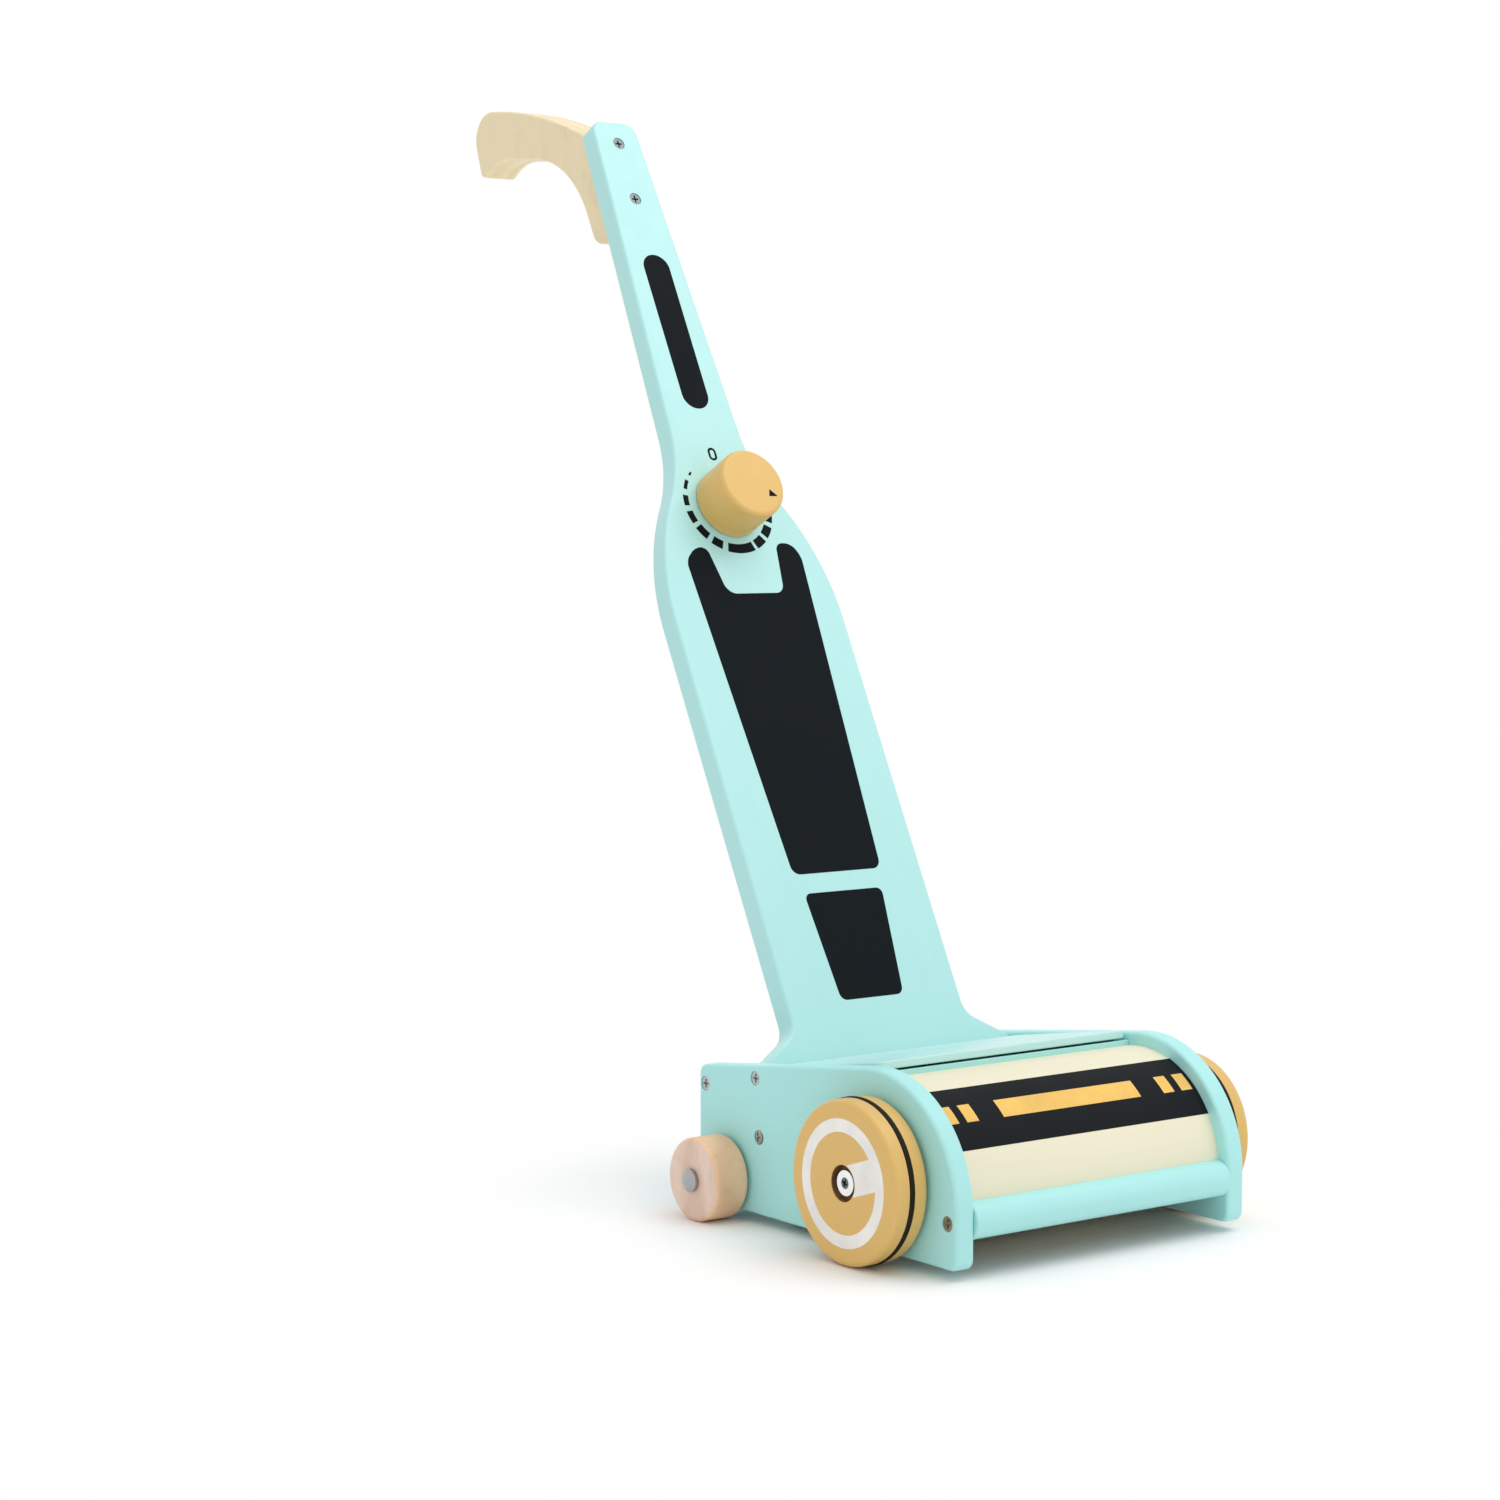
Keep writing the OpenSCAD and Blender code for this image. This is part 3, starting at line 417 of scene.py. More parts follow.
MINT = seen(176, 234, 232)
# A paler, greyer copy of the mint for the board: painted light on its lit front face; the grain and glossier
# finish are real.
mint_board_painted_light = paint("mint_board_painted_light", seen(180, 231, 229), (1, 0.12, 0.06), 0.34, 0.45)
mint_panel = paint("mint_panel", MINT, (1, 0.06, 1))
mint_dowel = paint("mint_dowel", MINT, (0.06, 1, 1))
# A paler copy of the mint for the hatch: painted light on its upward face; the glossier finish is real.
mint_lid_painted_light = paint("mint_lid_painted_light", seen(188, 232, 229), (0.06, 1, 1), 0.34, 0.6)
mustard = paint("mustard_paint", seen(225, 184, 106), (1, 0.3, 0.3), 0.36, 0.42)
cream = paint("cream_ply", seen(236, 231, 204), (0.04, 1, 1), 0.5)
black_print = printed("black_print", seen(17, 23, 27), 0.6, 0.06)
black_band = printed("black_band", seen(27, 30, 33), 0.6, 0.06)
yellow_print = printed("yellow_print", seen(238, 193, 104))
white_print = printed("white_print", seen(240, 237, 232))
birch = timber("bare_birch", seen(240, 223, 185), seen(232, 212, 170), (1, 0.2, 0.12), rings=30.0)
WHEEL_GRAIN = {"along": (0.3, 1, 0.3), "turn": (0, 0, 0.4), "rings": 38.0}
beech = timber("bare_beech", seen(234, 208, 191), seen(223, 190, 170), **WHEEL_GRAIN)
# A lighter, warmer copy of the same beech for the rear wheels' treads: painted light on the tread, not a
# different wood.
beech_tread_painted_light = timber("bare_beech_tread_painted_light", seen(247, 205, 167), seen(235, 189, 151), **WHEEL_GRAIN)
# The hub recess is bare drilled wood; its dark tone is painted shade for the shadow inside the recess.
bore_bare_wood_painted_shade = timber("bore_bare_wood_painted_shade", seen(132, 98, 64), seen(106, 76, 48), (0.3, 1, 1), rings=30.0)
ply = timber("bin_ply", seen(222, 204, 164), seen(205, 182, 138), (0.12, 1, 1), rings=20.0)
zinc = metal("zinc_screw", seen(180, 187, 187), 0.26, (1, 1, 0.2))
# A darker copy of the zinc for the grip and hub screws: painted shade for the dark reflections in their
# heads.
zinc_painted_dark_reflection = metal("zinc_screw_painted_dark_reflection", seen(104, 113, 113), 0.26, (1, 1, 0.2))
# A brighter copy of the zinc for the hub washers: painted light making up for the shade of the hub recess.
bright = metal("washer_painted_bright_reflection", seen(243, 243, 244), 0.12, (1, 0.3, 1))
# The caps' metal is darkened as painted shade, standing in for the dark half of the reflection in each dome.
polished = metal("polished_cap_painted_dark_reflection", seen(172, 173, 176), 0.1, (1, 0.3, 1))
nickel = metal("magnet_nickel", seen(170, 172, 176), 0.25, (1, 1, 1))
rubber = rubbery("wheel_rubber", seen(28, 23, 16))
nylon = moulded("bush_nylon", seen(232, 231, 224))


# Body: panels, cover, bar, rail and rear panel
def top_edge(y):
    return NOSE_Z + NOSE_R / math.cos(TOP_FALL) - (y - NOSE_Y) * math.tan(TOP_FALL)


def panel(side, name):
    bm = bmesh.new()
    fall = math.degrees(TOP_FALL)
    rear, low = PANEL_REAR - PANEL_CORNER, PANEL_LOW + PANEL_CORNER
    top = top_edge(rear) - PANEL_CORNER / math.cos(TOP_FALL)
    first = put(bm, PANEL_FRONT, NOSE_Z)
    last = bend(bm, first, NOSE_Y, NOSE_Z, -90 - fall, 64)
    last = go(bm, last, rear + PANEL_CORNER * math.sin(TOP_FALL), top + PANEL_CORNER * math.cos(TOP_FALL))
    last = bend(bm, last, rear, top, fall - 90, 8)
    last = go(bm, last, PANEL_REAR, low)
    last = bend(bm, last, rear, low, -90, 8)
    last = go(bm, last, PANEL_FRONT + PANEL_CORNER, PANEL_LOW)
    last = bend(bm, last, PANEL_FRONT + PANEL_CORNER, low, -90, 8)
    fill(bm, first, last)
    thicken(bm, -PANEL_T, 0)
    soften(bm, PANEL_EDGE, 5)
    place = side_frame(side, PANEL_X)
    made = piece(name + "_painted", bm, place, mint_panel, "body", "mint_paint", name)
    carve(made, screw_seats(PANEL_SCREWS), place)


def curved_strip(x0, x1, r0, r1, span, steps):
    """A strip bent round the nose, between two angles counted from the rear."""
    start, end = span
    bm = oblong(x0, x1, r0, r1)
    swing(bm, start, "X")
    bmesh.ops.spin(bm, geom=bm.faces[:], cent=(0, 0, 0), axis=(1, 0, 0), angle=math.radians(end - start),
                   steps=steps)
    bmesh.ops.recalc_face_normals(bm, faces=bm.faces[:])
    return bm


def front_cover():
    sheet = curved_strip(-INNER_X, INNER_X, COVER_R - COVER_T, COVER_R, COVER_SPAN, 72)
    piece("bent_cover", sheet, ON_NOSE, cream, "body", "cream_paint", "front_cover")
    band = curved_strip(-INNER_X, INNER_X, COVER_R - INK, COVER_R + INK, BAND_SPAN, 36)
    piece("cover_band", band, ON_NOSE, black_band, "body", "cream_paint")
    for number, (middle, width) in enumerate(COVER_DASHES):
        left, right = middle - width / 2, middle + width / 2
        dash = curved_strip(left, right, COVER_R - INK, COVER_R + 2 * INK, DASH_SPAN, 14)
        piece("cover_bar_%d" % number, dash, ON_NOSE, yellow_print, "body", "cream_paint")


def front_bar():
    bm = bmesh.new()
    last = put(bm, 0, -INNER_X)
    last = go(bm, last, BAR_R - BAR_EDGE, -INNER_X)
    last = bend(bm, last, BAR_R - BAR_EDGE, -INNER_X + BAR_EDGE, 90, 5)
    last = go(bm, last, BAR_R, INNER_X - BAR_EDGE)
    last = bend(bm, last, BAR_R - BAR_EDGE, INNER_X - BAR_EDGE, 90, 5)
    go(bm, last, 0, INNER_X)
    turn_on_lathe(bm, 96)
    piece("front_dowel", bm, side_frame(1, 0.0, BAR_Y, BAR_Z), mint_dowel, "body", "mint_paint", "front_bar")


def beam(name, bm, edge, stands_for):
    """A straight board between the panels, from its drawn section."""
    thicken(bm, -INNER_X, INNER_X)
    round_off(bm, bm.edges[:], edge, 3)
    piece(name, bm, ALONG_X, mint_dowel, "body", "mint_paint", stands_for)


def rail_level(y):
    """Height of the rail's top under the closed lid."""
    return LID_Z - (y - LID_Y) * math.tan(LID_FALL) + LID_LIFT / math.cos(LID_FALL) - RAIL_GAP


def rails():
    rear, top = RAIL_Y + RAIL_DEPTH, rail_level(RAIL_Y)
    section = [(RAIL_Y, top), (RAIL_Y, top - RAIL_H), (rear, top - RAIL_H), (rear, rail_level(rear))]
    beam("stop_rail", outline(section), RAIL_EDGE, "cover_rail")
    beam("back_board", oblong(BACK_Y, PANEL_REAR, BACK_LOW, BACK_TOP), BACK_EDGE, "rear_panel")


panel(-1, "side_panel_left")
panel(1, "side_panel_right")
front_cover()
front_bar()
rails()


# Handle board with its prints
def handle_board():
    foot_low, foot_top = -92.02, -25.0
    slope_end, fillet, fillet_turn = (62.82, -13.475), (69.0, -3.189), -59
    shoulder_half, shoulder_s, shoulder_r, shoulder_turn = 57.0, 219.0, 140.0, 31.1
    neck, neck_turn = (115.654, 338.835), -28.6
    top_half, top_r = 15.177, 8.0
    bm = bmesh.new()
    first = put(bm, 0, foot_low)
    last = lines(bm, first, (INNER_X, foot_low), (INNER_X, foot_top), slope_end)
    last = bend(bm, last, *fillet, fillet_turn, 10)
    last = go(bm, last, shoulder_half, shoulder_s)
    last = bend(bm, last, shoulder_half - shoulder_r, shoulder_s, shoulder_turn, 24)
    last = bend(bm, last, *neck, neck_turn, 20)
    last = go(bm, last, top_half, BOARD_TOP - top_r)
    last = bend(bm, last, top_half - top_r, BOARD_TOP - top_r, 90, 10)
    go(bm, last, 0, BOARD_TOP)
    bmesh.ops.mirror(bm, geom=bm.verts[:] + bm.edges[:], axis="X", merge_dist=1e-3)
    merge(bm, 1e-3)
    bmesh.ops.contextual_create(bm, geom=bm.edges[:])
    bmesh.ops.dissolve_verts(bm, verts=[v for v in bm.verts if abs(v.co.x) < 1e-4])
    thicken(bm, -BOARD_T, 0)
    soften(bm, BOARD_EDGE, 5)
    made = piece("leaning_board", bm, ON_BOARD, mint_board_painted_light, "body", "mint_paint", "handle_board")
    carve(made, screw_seats(GRIP_SCREWS), ON_BOARD)


def ink(name, bm, place, finish, body, slot, film=INK):
    """A printed shape: a thin film lying on its face."""
    thicken(bm, -INK, film)
    piece(name, bm, place, finish, body, slot)


def board_ink(name, bm):
    ink(name, bm, ON_BOARD, black_print, "body", "mint_paint")


def board_prints():
    """A slot high on the board, a shield below the knob and a foot below the bare strip."""
    slot_r, foot_r = 8.6, 4
    slot = oblong(-8.2, 9.2, 347.6, 444.5)
    round_corners(slot, slot.verts[:], slot_r, 14)
    board_ink("board_slot_print", slot)
    corners = [((-28.9, 73.6), 5), ((29.6, 73.6), 5), ((40.0, 257.5), 4), ((35.0, 265.0), 4),
               ((25.0, 265.0), 4), ((20.8, 235.2), 5), ((-16.8, 235.2), 6), ((-22.2, 263.0), 4),
               ((-30.0, 263.0), 4), ((-38.0, 255.2), 4)]
    shield = outline([spot for spot, r in corners])
    for vert, (spot, r) in zip(shield.verts[:], corners):
        round_corners(shield, [vert], r, 8)
    board_ink("board_shield_print", shield)
    foot = outline([(-25.4, 62.8), (26.2, 62.8), (19.4, 3.6), (-21.6, 3.6)])
    round_corners(foot, foot.verts[:], foot_r, 6)
    board_ink("board_foot_print", foot)


def dial_prints():
    """Dashes round the knob that grow from hair-thin to bold, and a nought."""
    centre, nought_r, stroke = (0, KNOB_S, 0), 2.65, 1.35
    dashes = ((132.2, 137.4, 1.3), (146, 158.8, 2.2), (167.3, 180.7, 3.3), (188.1, 203, 4.1),
              (208.7, 225.3, 4.8), (231.8, 246, 5.2), (253.3, 290.6, 5.4), (295, 310.3, 5.4),
              (315.5, 330.7, 5.2), (336.9, 350, 4.8))
    for number, (start, end, bold) in enumerate(dashes):
        bm = bmesh.new()
        inner = put(bm, DIAL_R - bold / 2, KNOB_S)
        go(bm, inner, DIAL_R + bold / 2, KNOB_S)
        swing(bm, start, "Z", centre)
        bmesh.ops.spin(bm, geom=bm.verts[:] + bm.edges[:], cent=centre, axis=(0, 0, 1),
                       angle=math.radians(end - start), steps=10)
        merge(bm)
        board_ink("dial_dash_%02d" % number, bm)
    nought = oblong(-2.4, 3.0, 315.6, 323.4)
    round_corners(nought, nought.verts[:], nought_r, 12)
    bmesh.ops.inset_region(nought, faces=nought.faces[:], thickness=stroke, use_boundary=True)
    inside = max(nought.faces, key=lambda face: len(face.verts))
    bmesh.ops.delete(nought, geom=[inside], context="FACES_ONLY")
    board_ink("dial_zero", nought)


def knob():
    screw_r, screw_deep, lift, foot_edge = 2.52, 14.4, 0.4, 0.8
    bm = bmesh.new()
    last = put(bm, 0, screw_deep)
    last = lines(bm, last, (screw_r, screw_deep), (screw_r, lift), (KNOB_R - foot_edge, lift))
    last = bend(bm, last, KNOB_R - foot_edge, lift + foot_edge, 90, 5)
    last = go(bm, last, KNOB_R, KNOB_H - KNOB_EDGE)
    last = bend(bm, last, KNOB_R - KNOB_EDGE, KNOB_H - KNOB_EDGE, 90, 10)
    go(bm, last, 0, KNOB_H)
    turn_on_lathe(bm, 128)
    place = ON_BOARD @ Matrix.Translation((0, KNOB_S, 0))
    piece("turned_knob", bm, place, mustard, "knob", "mustard_paint", "control_knob")
    pointer = outline([(9.1, -4.2), (13.4, -8.4), (7.8, -8.4)])
    round_corners(pointer, pointer.verts[:], 0.2, 2)
    face = ON_BOARD @ Matrix.Translation((0, KNOB_S, KNOB_H))
    ink("knob_pointer", pointer, face, black_print, "knob", "mustard_paint")


# Grip: straight lines and arcs that touch each other
def leave(x0, y0, r0, x1, y1, r1, left=False):
    """Angle, in degrees, at which the common tangent of two circles leaves the first one."""
    way = math.atan2(y1 - y0, x1 - x0)
    tip = math.asin((r0 - r1) / math.hypot(x1 - x0, y1 - y0))
    return math.degrees(way + math.pi / 2 - tip if left else way - math.pi / 2 + tip)


def at(x, y, r, degrees):
    return x + r * math.cos(math.radians(degrees)), y + r * math.sin(math.radians(degrees))


def bearing(x0, y0, x1, y1):
    return math.degrees(math.atan2(y1 - y0, x1 - x0))


def wide_bow(x0, y0, r0, x1, y1, r1, r):
    """Centre of a wide arc of radius r that runs over two round corners and touches both."""
    gap, near, far = math.hypot(x1 - x0, y1 - y0), r - r0, r - r1
    along = (gap * gap + near * near - far * far) / (2 * gap)
    aside = math.sqrt(near * near - along * along)
    ux, uy = (x1 - x0) / gap, (y1 - y0) / gap
    return x0 + ux * along - uy * aside, y0 + uy * along + ux * aside


def grip():
    half, edge, crown_r = 11, 2.0, 310.0
    foot_s, foot_out, foot_r = -64, 20, 8
    root, end, tip = (-4, 3, 3), (50.53, 87.81, 15.98), (37.5, 102, 4)
    hook, arch = (-5.5, 95, 39.5), (-43, 87.5, 67.5)
    crown = wide_bow(*root, *end, crown_r)
    a1, a2 = bearing(*crown, *root[:2]), bearing(*crown, *end[:2])
    a3, a4 = leave(*end, *tip), bearing(*hook[:2], *tip[:2])
    a5 = leave(*hook, *arch, left=True)
    bm = bmesh.new()
    first = put(bm, foot_s, 0)
    last = go(bm, first, root[0], 0)
    last = bend(bm, last, *root[:2], a1 + 90, 8)
    last = bend(bm, last, *crown, a2 - a1, 16)
    last = bend(bm, last, *end[:2], a3 - a2, 28)
    last = go(bm, last, *at(*tip, a3))
    last = bend(bm, last, *tip[:2], a4 + 180 - a3, 12)
    last = bend(bm, last, *hook[:2], a5 - a4, 20)
    last = go(bm, last, *at(*arch, a5))
    last = bend(bm, last, *arch[:2], -90 - a5, 28)
    last = go(bm, last, foot_s + foot_r, foot_out)
    last = bend(bm, last, foot_s + foot_r, foot_out - foot_r, 90, 8)
    fill(bm, first, last)
    thicken(bm, -half, half)
    soften(bm, edge, 4)
    sideways = Matrix(((0, 0, 1, 0), (1, 0, 0, BOARD_TOP), (0, -1, 0, -BOARD_T), (0, 0, 0, 1)))
    piece("hooked_grip", bm, ON_BOARD @ sideways, birch, "body", "birch", "handle_grip")


def hatch():
    half, length, tail, corner_r, edge = 81.0, 83.913, 1.0, 4, 0.8
    bm = oblong(-half, half, -length, tail)
    round_corners(bm, [v for v in bm.verts if v.co.y < 0], corner_r, 6)
    thicken(bm, LID_LIFT, LID_LIFT + LID_T)
    soften(bm, edge, 3)
    piece("hatch_lid", bm, ON_HATCH, mint_lid_painted_light, "hatch", "mint_paint", "hatch_board")


handle_board()
board_prints()
dial_prints()
knob()
grip()
hatch()


# Wheels
def disc_section(bm, bore, r):
    """Back face and first rounded rim of a wheel's half section."""
    first = put(bm, bore, 0)
    last = go(bm, first, r - RIM_R, 0)
    return first, bend(bm, last, r - RIM_R, RIM_R, 90, 8)


def front_wheel(side, name):
    groove, half, near = 36.98, 1.62, 0.05
    r, w, low, high = WHEEL_R, WHEEL_W, WHEEL_W / 2 - half, WHEEL_W / 2 + half
    bm = bmesh.new()
    first, last = disc_section(bm, AXLE_BORE, r)
    last = lines(bm, last, (r, low), (groove, low), (groove, high), (r, high), (r, w - RIM_R))
    last = bend(bm, last, r - RIM_R, w - RIM_R, 90, 8)
    last = go(bm, last, HUB_R + HUB_EDGE, w)
    last = bend(bm, last, HUB_R + HUB_EDGE, w - HUB_EDGE, 90, 4)
    last = lines(bm, last, (HUB_R, HUB_FLOOR), (AXLE_BORE, HUB_FLOOR))
    bm.edges.new((last, first))
    turn_on_lathe(bm, 160)
    # Faces inside the hub recess take the second finish: bare wood darkened as painted shade.
    for face in bm.faces:
        spot = face.calc_center_median()
        face.material_index = int(spot.xy.length < HUB_R + near and spot.z > HUB_FLOOR - near)
    place = side_frame(side, WHEEL_X, 0.0, WHEEL_Z)
    made = piece("turned_" + name, bm, place, mustard, "magnet_roller", "mustard_paint", name)
    made.data.materials.append(bore_bare_wood_painted_shade)


def wheel_ring(side, name):
    shoulder, flat = RING_R - RING_EDGE, RING_HALF - RING_EDGE
    bm = bmesh.new()
    first = put(bm, RING_SEAT, -RING_HALF)
    last = go(bm, first, shoulder, -RING_HALF)
    last = bend(bm, last, shoulder, -flat, 90, 5)
    last = go(bm, last, RING_R, flat)
    last = bend(bm, last, shoulder, flat, 90, 5)
    last = go(bm, last, RING_SEAT, RING_HALF)
    bm.edges.new((last, first))
    turn_on_lathe(bm, 160)
    place = side_frame(side, WHEEL_X + WHEEL_W / 2, 0.0, WHEEL_Z)
    piece("soft_" + name, bm, place, rubber, "magnet_roller", "rubber", name)


def wheel_print(side, name):
    """A printed ring with one spoke towards the front."""
    ring_in, ring_out = 24.4, 30.7
    half, hub, reach, turn = 7.6, 9.4, 25.4, -18.5
    place = side_frame(side, WHEEL_X + WHEEL_W, 0.0, WHEEL_Z)
    ring = bmesh.new()
    go(ring, put(ring, ring_in, 0), ring_out, 0)
    full_turn(ring, 160)
    ink(name + "_ring_print", ring, place, white_print, "magnet_roller", "mustard_paint")
    spoke = bmesh.new()
    first = put(spoke, -reach, -half)
    last = go(spoke, first, -math.sqrt(hub * hub - half * half), -half)
    last = bend(spoke, last, 0, 0, -2 * math.degrees(math.asin(half / hub)), 16)
    last = go(spoke, last, -reach, half)
    fill(spoke, first, last)
    swing(spoke, turn)
    ink(name + "_spoke_print", spoke, place, white_print, "magnet_roller", "mustard_paint", 0.5 * INK)


def rear_wheel(side, name):
    tread = REAR_R - 0.4 * RIM_R
    bm = bmesh.new()
    first, last = disc_section(bm, ROD_BORE, REAR_R)
    last = go(bm, last, REAR_R, REAR_W - RIM_R)
    last = bend(bm, last, REAR_R - RIM_R, REAR_W - RIM_R, 90, 8)
    last = go(bm, last, ROD_BORE, REAR_W)
    bm.edges.new((last, first))
    turn_on_lathe(bm, 128)
    # Faces beyond the tread's start take the lighter, warmer beech copy: painted light.
    for face in bm.faces:
        face.material_index = int(face.calc_center_median().xy.length > tread)
    made = piece("turned_" + name, bm, side_frame(side, REAR_X, REAR_Y, REAR_Z), beech, name, "beech", name)
    made.data.materials.append(beech_tread_painted_light)


def axle_cap(side, name):
    r, height, bore, deep, off = 5.8, 3.2, 3.02, 1.8, 0.4
    dome = (r * r + height * height / 4) / height
    rise = math.degrees(math.atan2(dome - height / 2, r))
    bm = bmesh.new()
    last = lines(bm, put(bm, 0, deep), (bore, deep), (bore, 0), (r, 0), (r, height / 2))
    bend(bm, last, 0, height - dome, 90 - rise, 14)
    turn_on_lathe(bm, 64)
    place = side_frame(side, REAR_X + REAR_W + off, REAR_Y, REAR_Z)
    piece("domed_" + name, bm, place, polished, "body", "bright_cap", name)


def both_hubs(bm):
    """Puts a shape in the left wheel's hub and its mirror image in the right one's."""
    bm.transform(side_frame(-1, WHEEL_X + HUB_FLOOR, 0.0, WHEEL_Z))
    bmesh.ops.mirror(bm, geom=bm.verts[:] + bm.edges[:] + bm.faces[:], axis="X", merge_dist=0)
    return bm


def hub_fittings():
    """A thick washer in each hub, its colour brightened as painted light, with a small flat screw sunk in it,
    its colour darkened as painted shade.
    """
    r, thick, edge, play = 6.3, 3.0, 0.4, 0.02
    shank, head, deep, lift = 2.0, 2.75, 18.5, 0.12
    arm, half, recess, above, turn = 1.9, 0.5, 1.3, 1.0, 20
    cone, top, in_place = thick - head + shank, thick + lift, Matrix.Identity(4)
    washer = bmesh.new()
    first = put(washer, shank + play, 0)
    last = lines(washer, first, (r, 0), (r, thick - edge))
    last = bend(washer, last, r - edge, thick - edge, 90, 4)
    last = lines(washer, last, (head + play, thick), (shank + play, cone))
    washer.edges.new((last, first))
    turn_on_lathe(washer, 96)
    piece("hub_washers", both_hubs(washer), in_place, bright, "magnet_roller", "zinc_steel", "wheel_washers")
    screw = bmesh.new()
    last = lines(screw, put(screw, 0, -deep), (shank, -deep), (shank, cone), (head, thick))
    lines(screw, last, (head - lift, top), (0, top))
    turn_on_lathe(screw, 64)
    both = both_hubs(screw)
    # The hub screws take the darker zinc copy: painted dark reflection.
    made = piece("hub_screws", both, in_place, zinc_painted_dark_reflection, "magnet_roller", "zinc_steel", "wheel_screws")
    cross = outline([(-arm, -half), (-half, -half), (-half, -arm), (half, -arm), (half, -half), (arm, -half),
                     (arm, half), (half, half), (half, arm), (-half, arm), (-half, half), (-arm, half)])
    swing(cross, turn)
    thicken(cross, top - recess, thick + above)
    carve(made, both_hubs(cross), in_place)


hub_fittings()
for side, hand in ((-1, "left"), (1, "right")):
    front_wheel(side, "front_wheel_" + hand)
    wheel_ring(side, "wheel_ring_" + hand)
    wheel_print(side, "front_wheel_" + hand)
    rear_wheel(side, "rear_wheel_" + hand)
    axle_cap(side, "rear_axle_cap_" + hand)

# Pieces carried over from the solids
carried = {
    ply: ("bin_ramp", "roller_drum"),
    mint_dowel: ("hatch_hinge_dowel",),
    nickel: ("roller_magnets",),
    nylon: ("axle_bush_left", "axle_bush_right", "rear_washers"),
    # The grip screws take the darker zinc copy: painted dark reflection.
    zinc_painted_dark_reflection: ("grip_screws",),
    zinc: ("side_screws_left", "side_screws_right", "hatch_pivot_screw_left", "hatch_pivot_screw_right",
           "rear_axle", "knob_washer", "front_axle", "knob_screw"),
}
for finish, names in carried.items():
    for name in names:
        mesh = nodes[name].data
        mesh.materials.clear()
        mesh.materials.append(finish)


# Floor, light and camera
FLOOR_R, SHADOW_NEAR, SHADOW_FAR = 14.0, 0.12, 0.29
BODY_MIDDLE = (0, AXLE_Y + 0.05, 0)
SKY = 0.8
LAMP_PLACE, LAMP_AIM, LAMP_SIZE, LAMP_POWER = (0.6, -0.65, 2.05), (0.0, 0.05, 0.35), 1.7, 16.0
CAMERA_PLACE, LENS = (-1.04668, AXLE_Y - 1.17136, 0.35931), 77.57
SWING, DIP, ROLL = math.radians(-36.822), math.radians(4.41), math.radians(0.131)


def looking_rays(tree):
    """Is 1 for rays from the camera, from mirrors and through glass."""
    rays = tree.nodes.new("ShaderNodeLightPath")
    found = rays.outputs["Is Camera Ray"]
    for kind in ("Is Glossy Ray", "Is Transmission Ray"):
        either = tree.nodes.new("ShaderNodeMath")
        either.operation = "MAXIMUM"
        tree.links.new(found, either.inputs[0])
        tree.links.new(rays.outputs[kind], either.inputs[1])
        found = either.outputs[0]
    return found


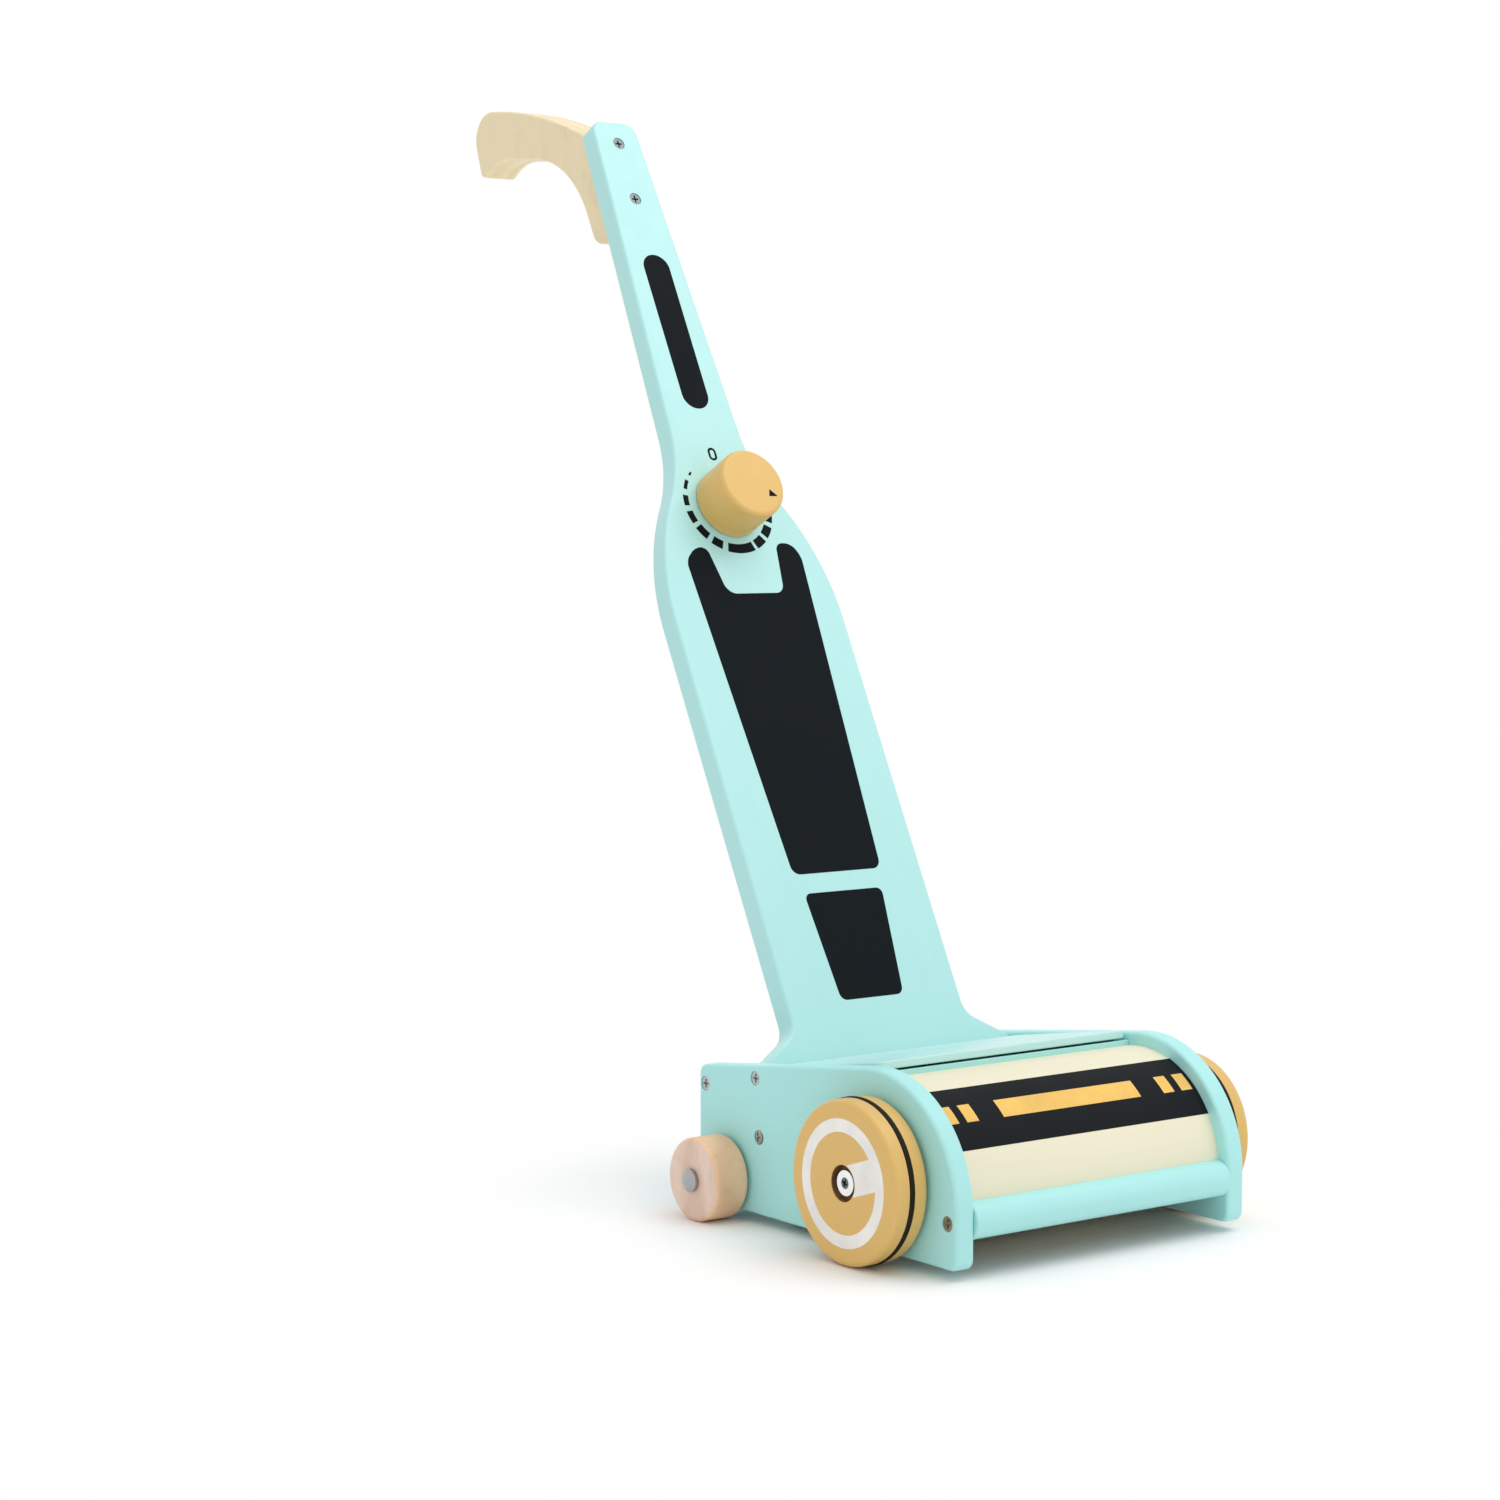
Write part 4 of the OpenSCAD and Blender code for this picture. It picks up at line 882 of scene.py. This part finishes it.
def floor():
    """A pale floor that keeps the shadow near the toy and fades to white further out."""
    bm = bmesh.new()
    bmesh.ops.create_circle(bm, cap_ends=True, segments=96, radius=FLOOR_R)
    mesh = bpy.data.meshes.new("studio_floor")
    bm.to_mesh(mesh)
    bm.free()
    obj = bpy.data.objects.new("studio_floor", mesh)
    bpy.context.scene.collection.objects.link(obj)
    f = Finish("studio_white")
    f.set(Base_Color=f.ramp(f.noise(3.0), (0.3, (0.97, 0.97, 0.97, 1)), (0.7, (0.985, 0.985, 0.985, 1))))
    f.set(Roughness=0.9, Specular_IOR_Level=0.0)
    glow = f.node("ShaderNodeEmission", Strength=1.0)
    far = f.node("ShaderNodeVectorMath", {0: f.place}, operation="DISTANCE")
    far.inputs[1].default_value = BODY_MIDDLE
    fade = f.between(far.outputs["Value"], 0.0, 1.0, SHADOW_NEAR, SHADOW_FAR, interpolation_type="SMOOTHSTEP")
    share = f.node("ShaderNodeMath", {0: looking_rays(f.tree), 1: fade}, operation="MULTIPLY")
    shaders = {"Fac": share.outputs[0], 1: f.shader.outputs["BSDF"], 2: glow.outputs[0]}
    blend = f.node("ShaderNodeMixShader", shaders)
    f.tree.links.new(blend.outputs["Shader"], f.out.inputs["Surface"])
    mesh.materials.append(f.material)


def studio_sky():
    world = bpy.data.worlds.new("studio")
    bpy.context.scene.world = world
    world.use_nodes = True
    tree = world.node_tree
    tree.nodes.clear()
    out = tree.nodes.new("ShaderNodeOutputWorld")
    blend = tree.nodes.new("ShaderNodeMixShader")
    tree.links.new(looking_rays(tree), blend.inputs["Fac"])
    for socket, strength in ((blend.inputs[1], SKY), (blend.inputs[2], 1.0)):
        white = tree.nodes.new("ShaderNodeBackground")
        white.inputs["Color"].default_value = (1, 1, 1, 1)
        white.inputs["Strength"].default_value = strength
        tree.links.new(white.outputs[0], socket)
    tree.links.new(blend.outputs[0], out.inputs["Surface"])


def softbox():
    lamp = bpy.data.lights.new("top_softbox", "AREA")
    lamp.shape = "DISK"
    lamp.size = LAMP_SIZE
    lamp.energy = LAMP_POWER
    obj = bpy.data.objects.new("top_softbox", lamp)
    bpy.context.scene.collection.objects.link(obj)
    obj.location = LAMP_PLACE
    obj.rotation_euler = (Vector(LAMP_AIM) - Vector(LAMP_PLACE)).to_track_quat("-Z", "Y").to_euler()


def camera():
    ahead = Vector((-math.sin(SWING) * math.cos(DIP), math.cos(SWING) * math.cos(DIP), -math.sin(DIP)))
    right = Vector((math.cos(SWING), math.sin(SWING), 0))
    up = right.cross(ahead)
    right, up = right * math.cos(ROLL) + up * math.sin(ROLL), up * math.cos(ROLL) - right * math.sin(ROLL)
    lens = bpy.data.cameras.new("studio_camera")
    lens.sensor_width = 36.0
    lens.lens = LENS
    lens.clip_end = 50.0
    obj = bpy.data.objects.new("studio_camera", lens)
    bpy.context.scene.collection.objects.link(obj)
    turn = Matrix((right, up, -ahead)).transposed().to_4x4()
    obj.matrix_world = Matrix.Translation(CAMERA_PLACE) @ turn
    bpy.context.scene.camera = obj


floor()
studio_sky()
softbox()
camera()
bpy.context.scene.view_settings.view_transform = "Standard"
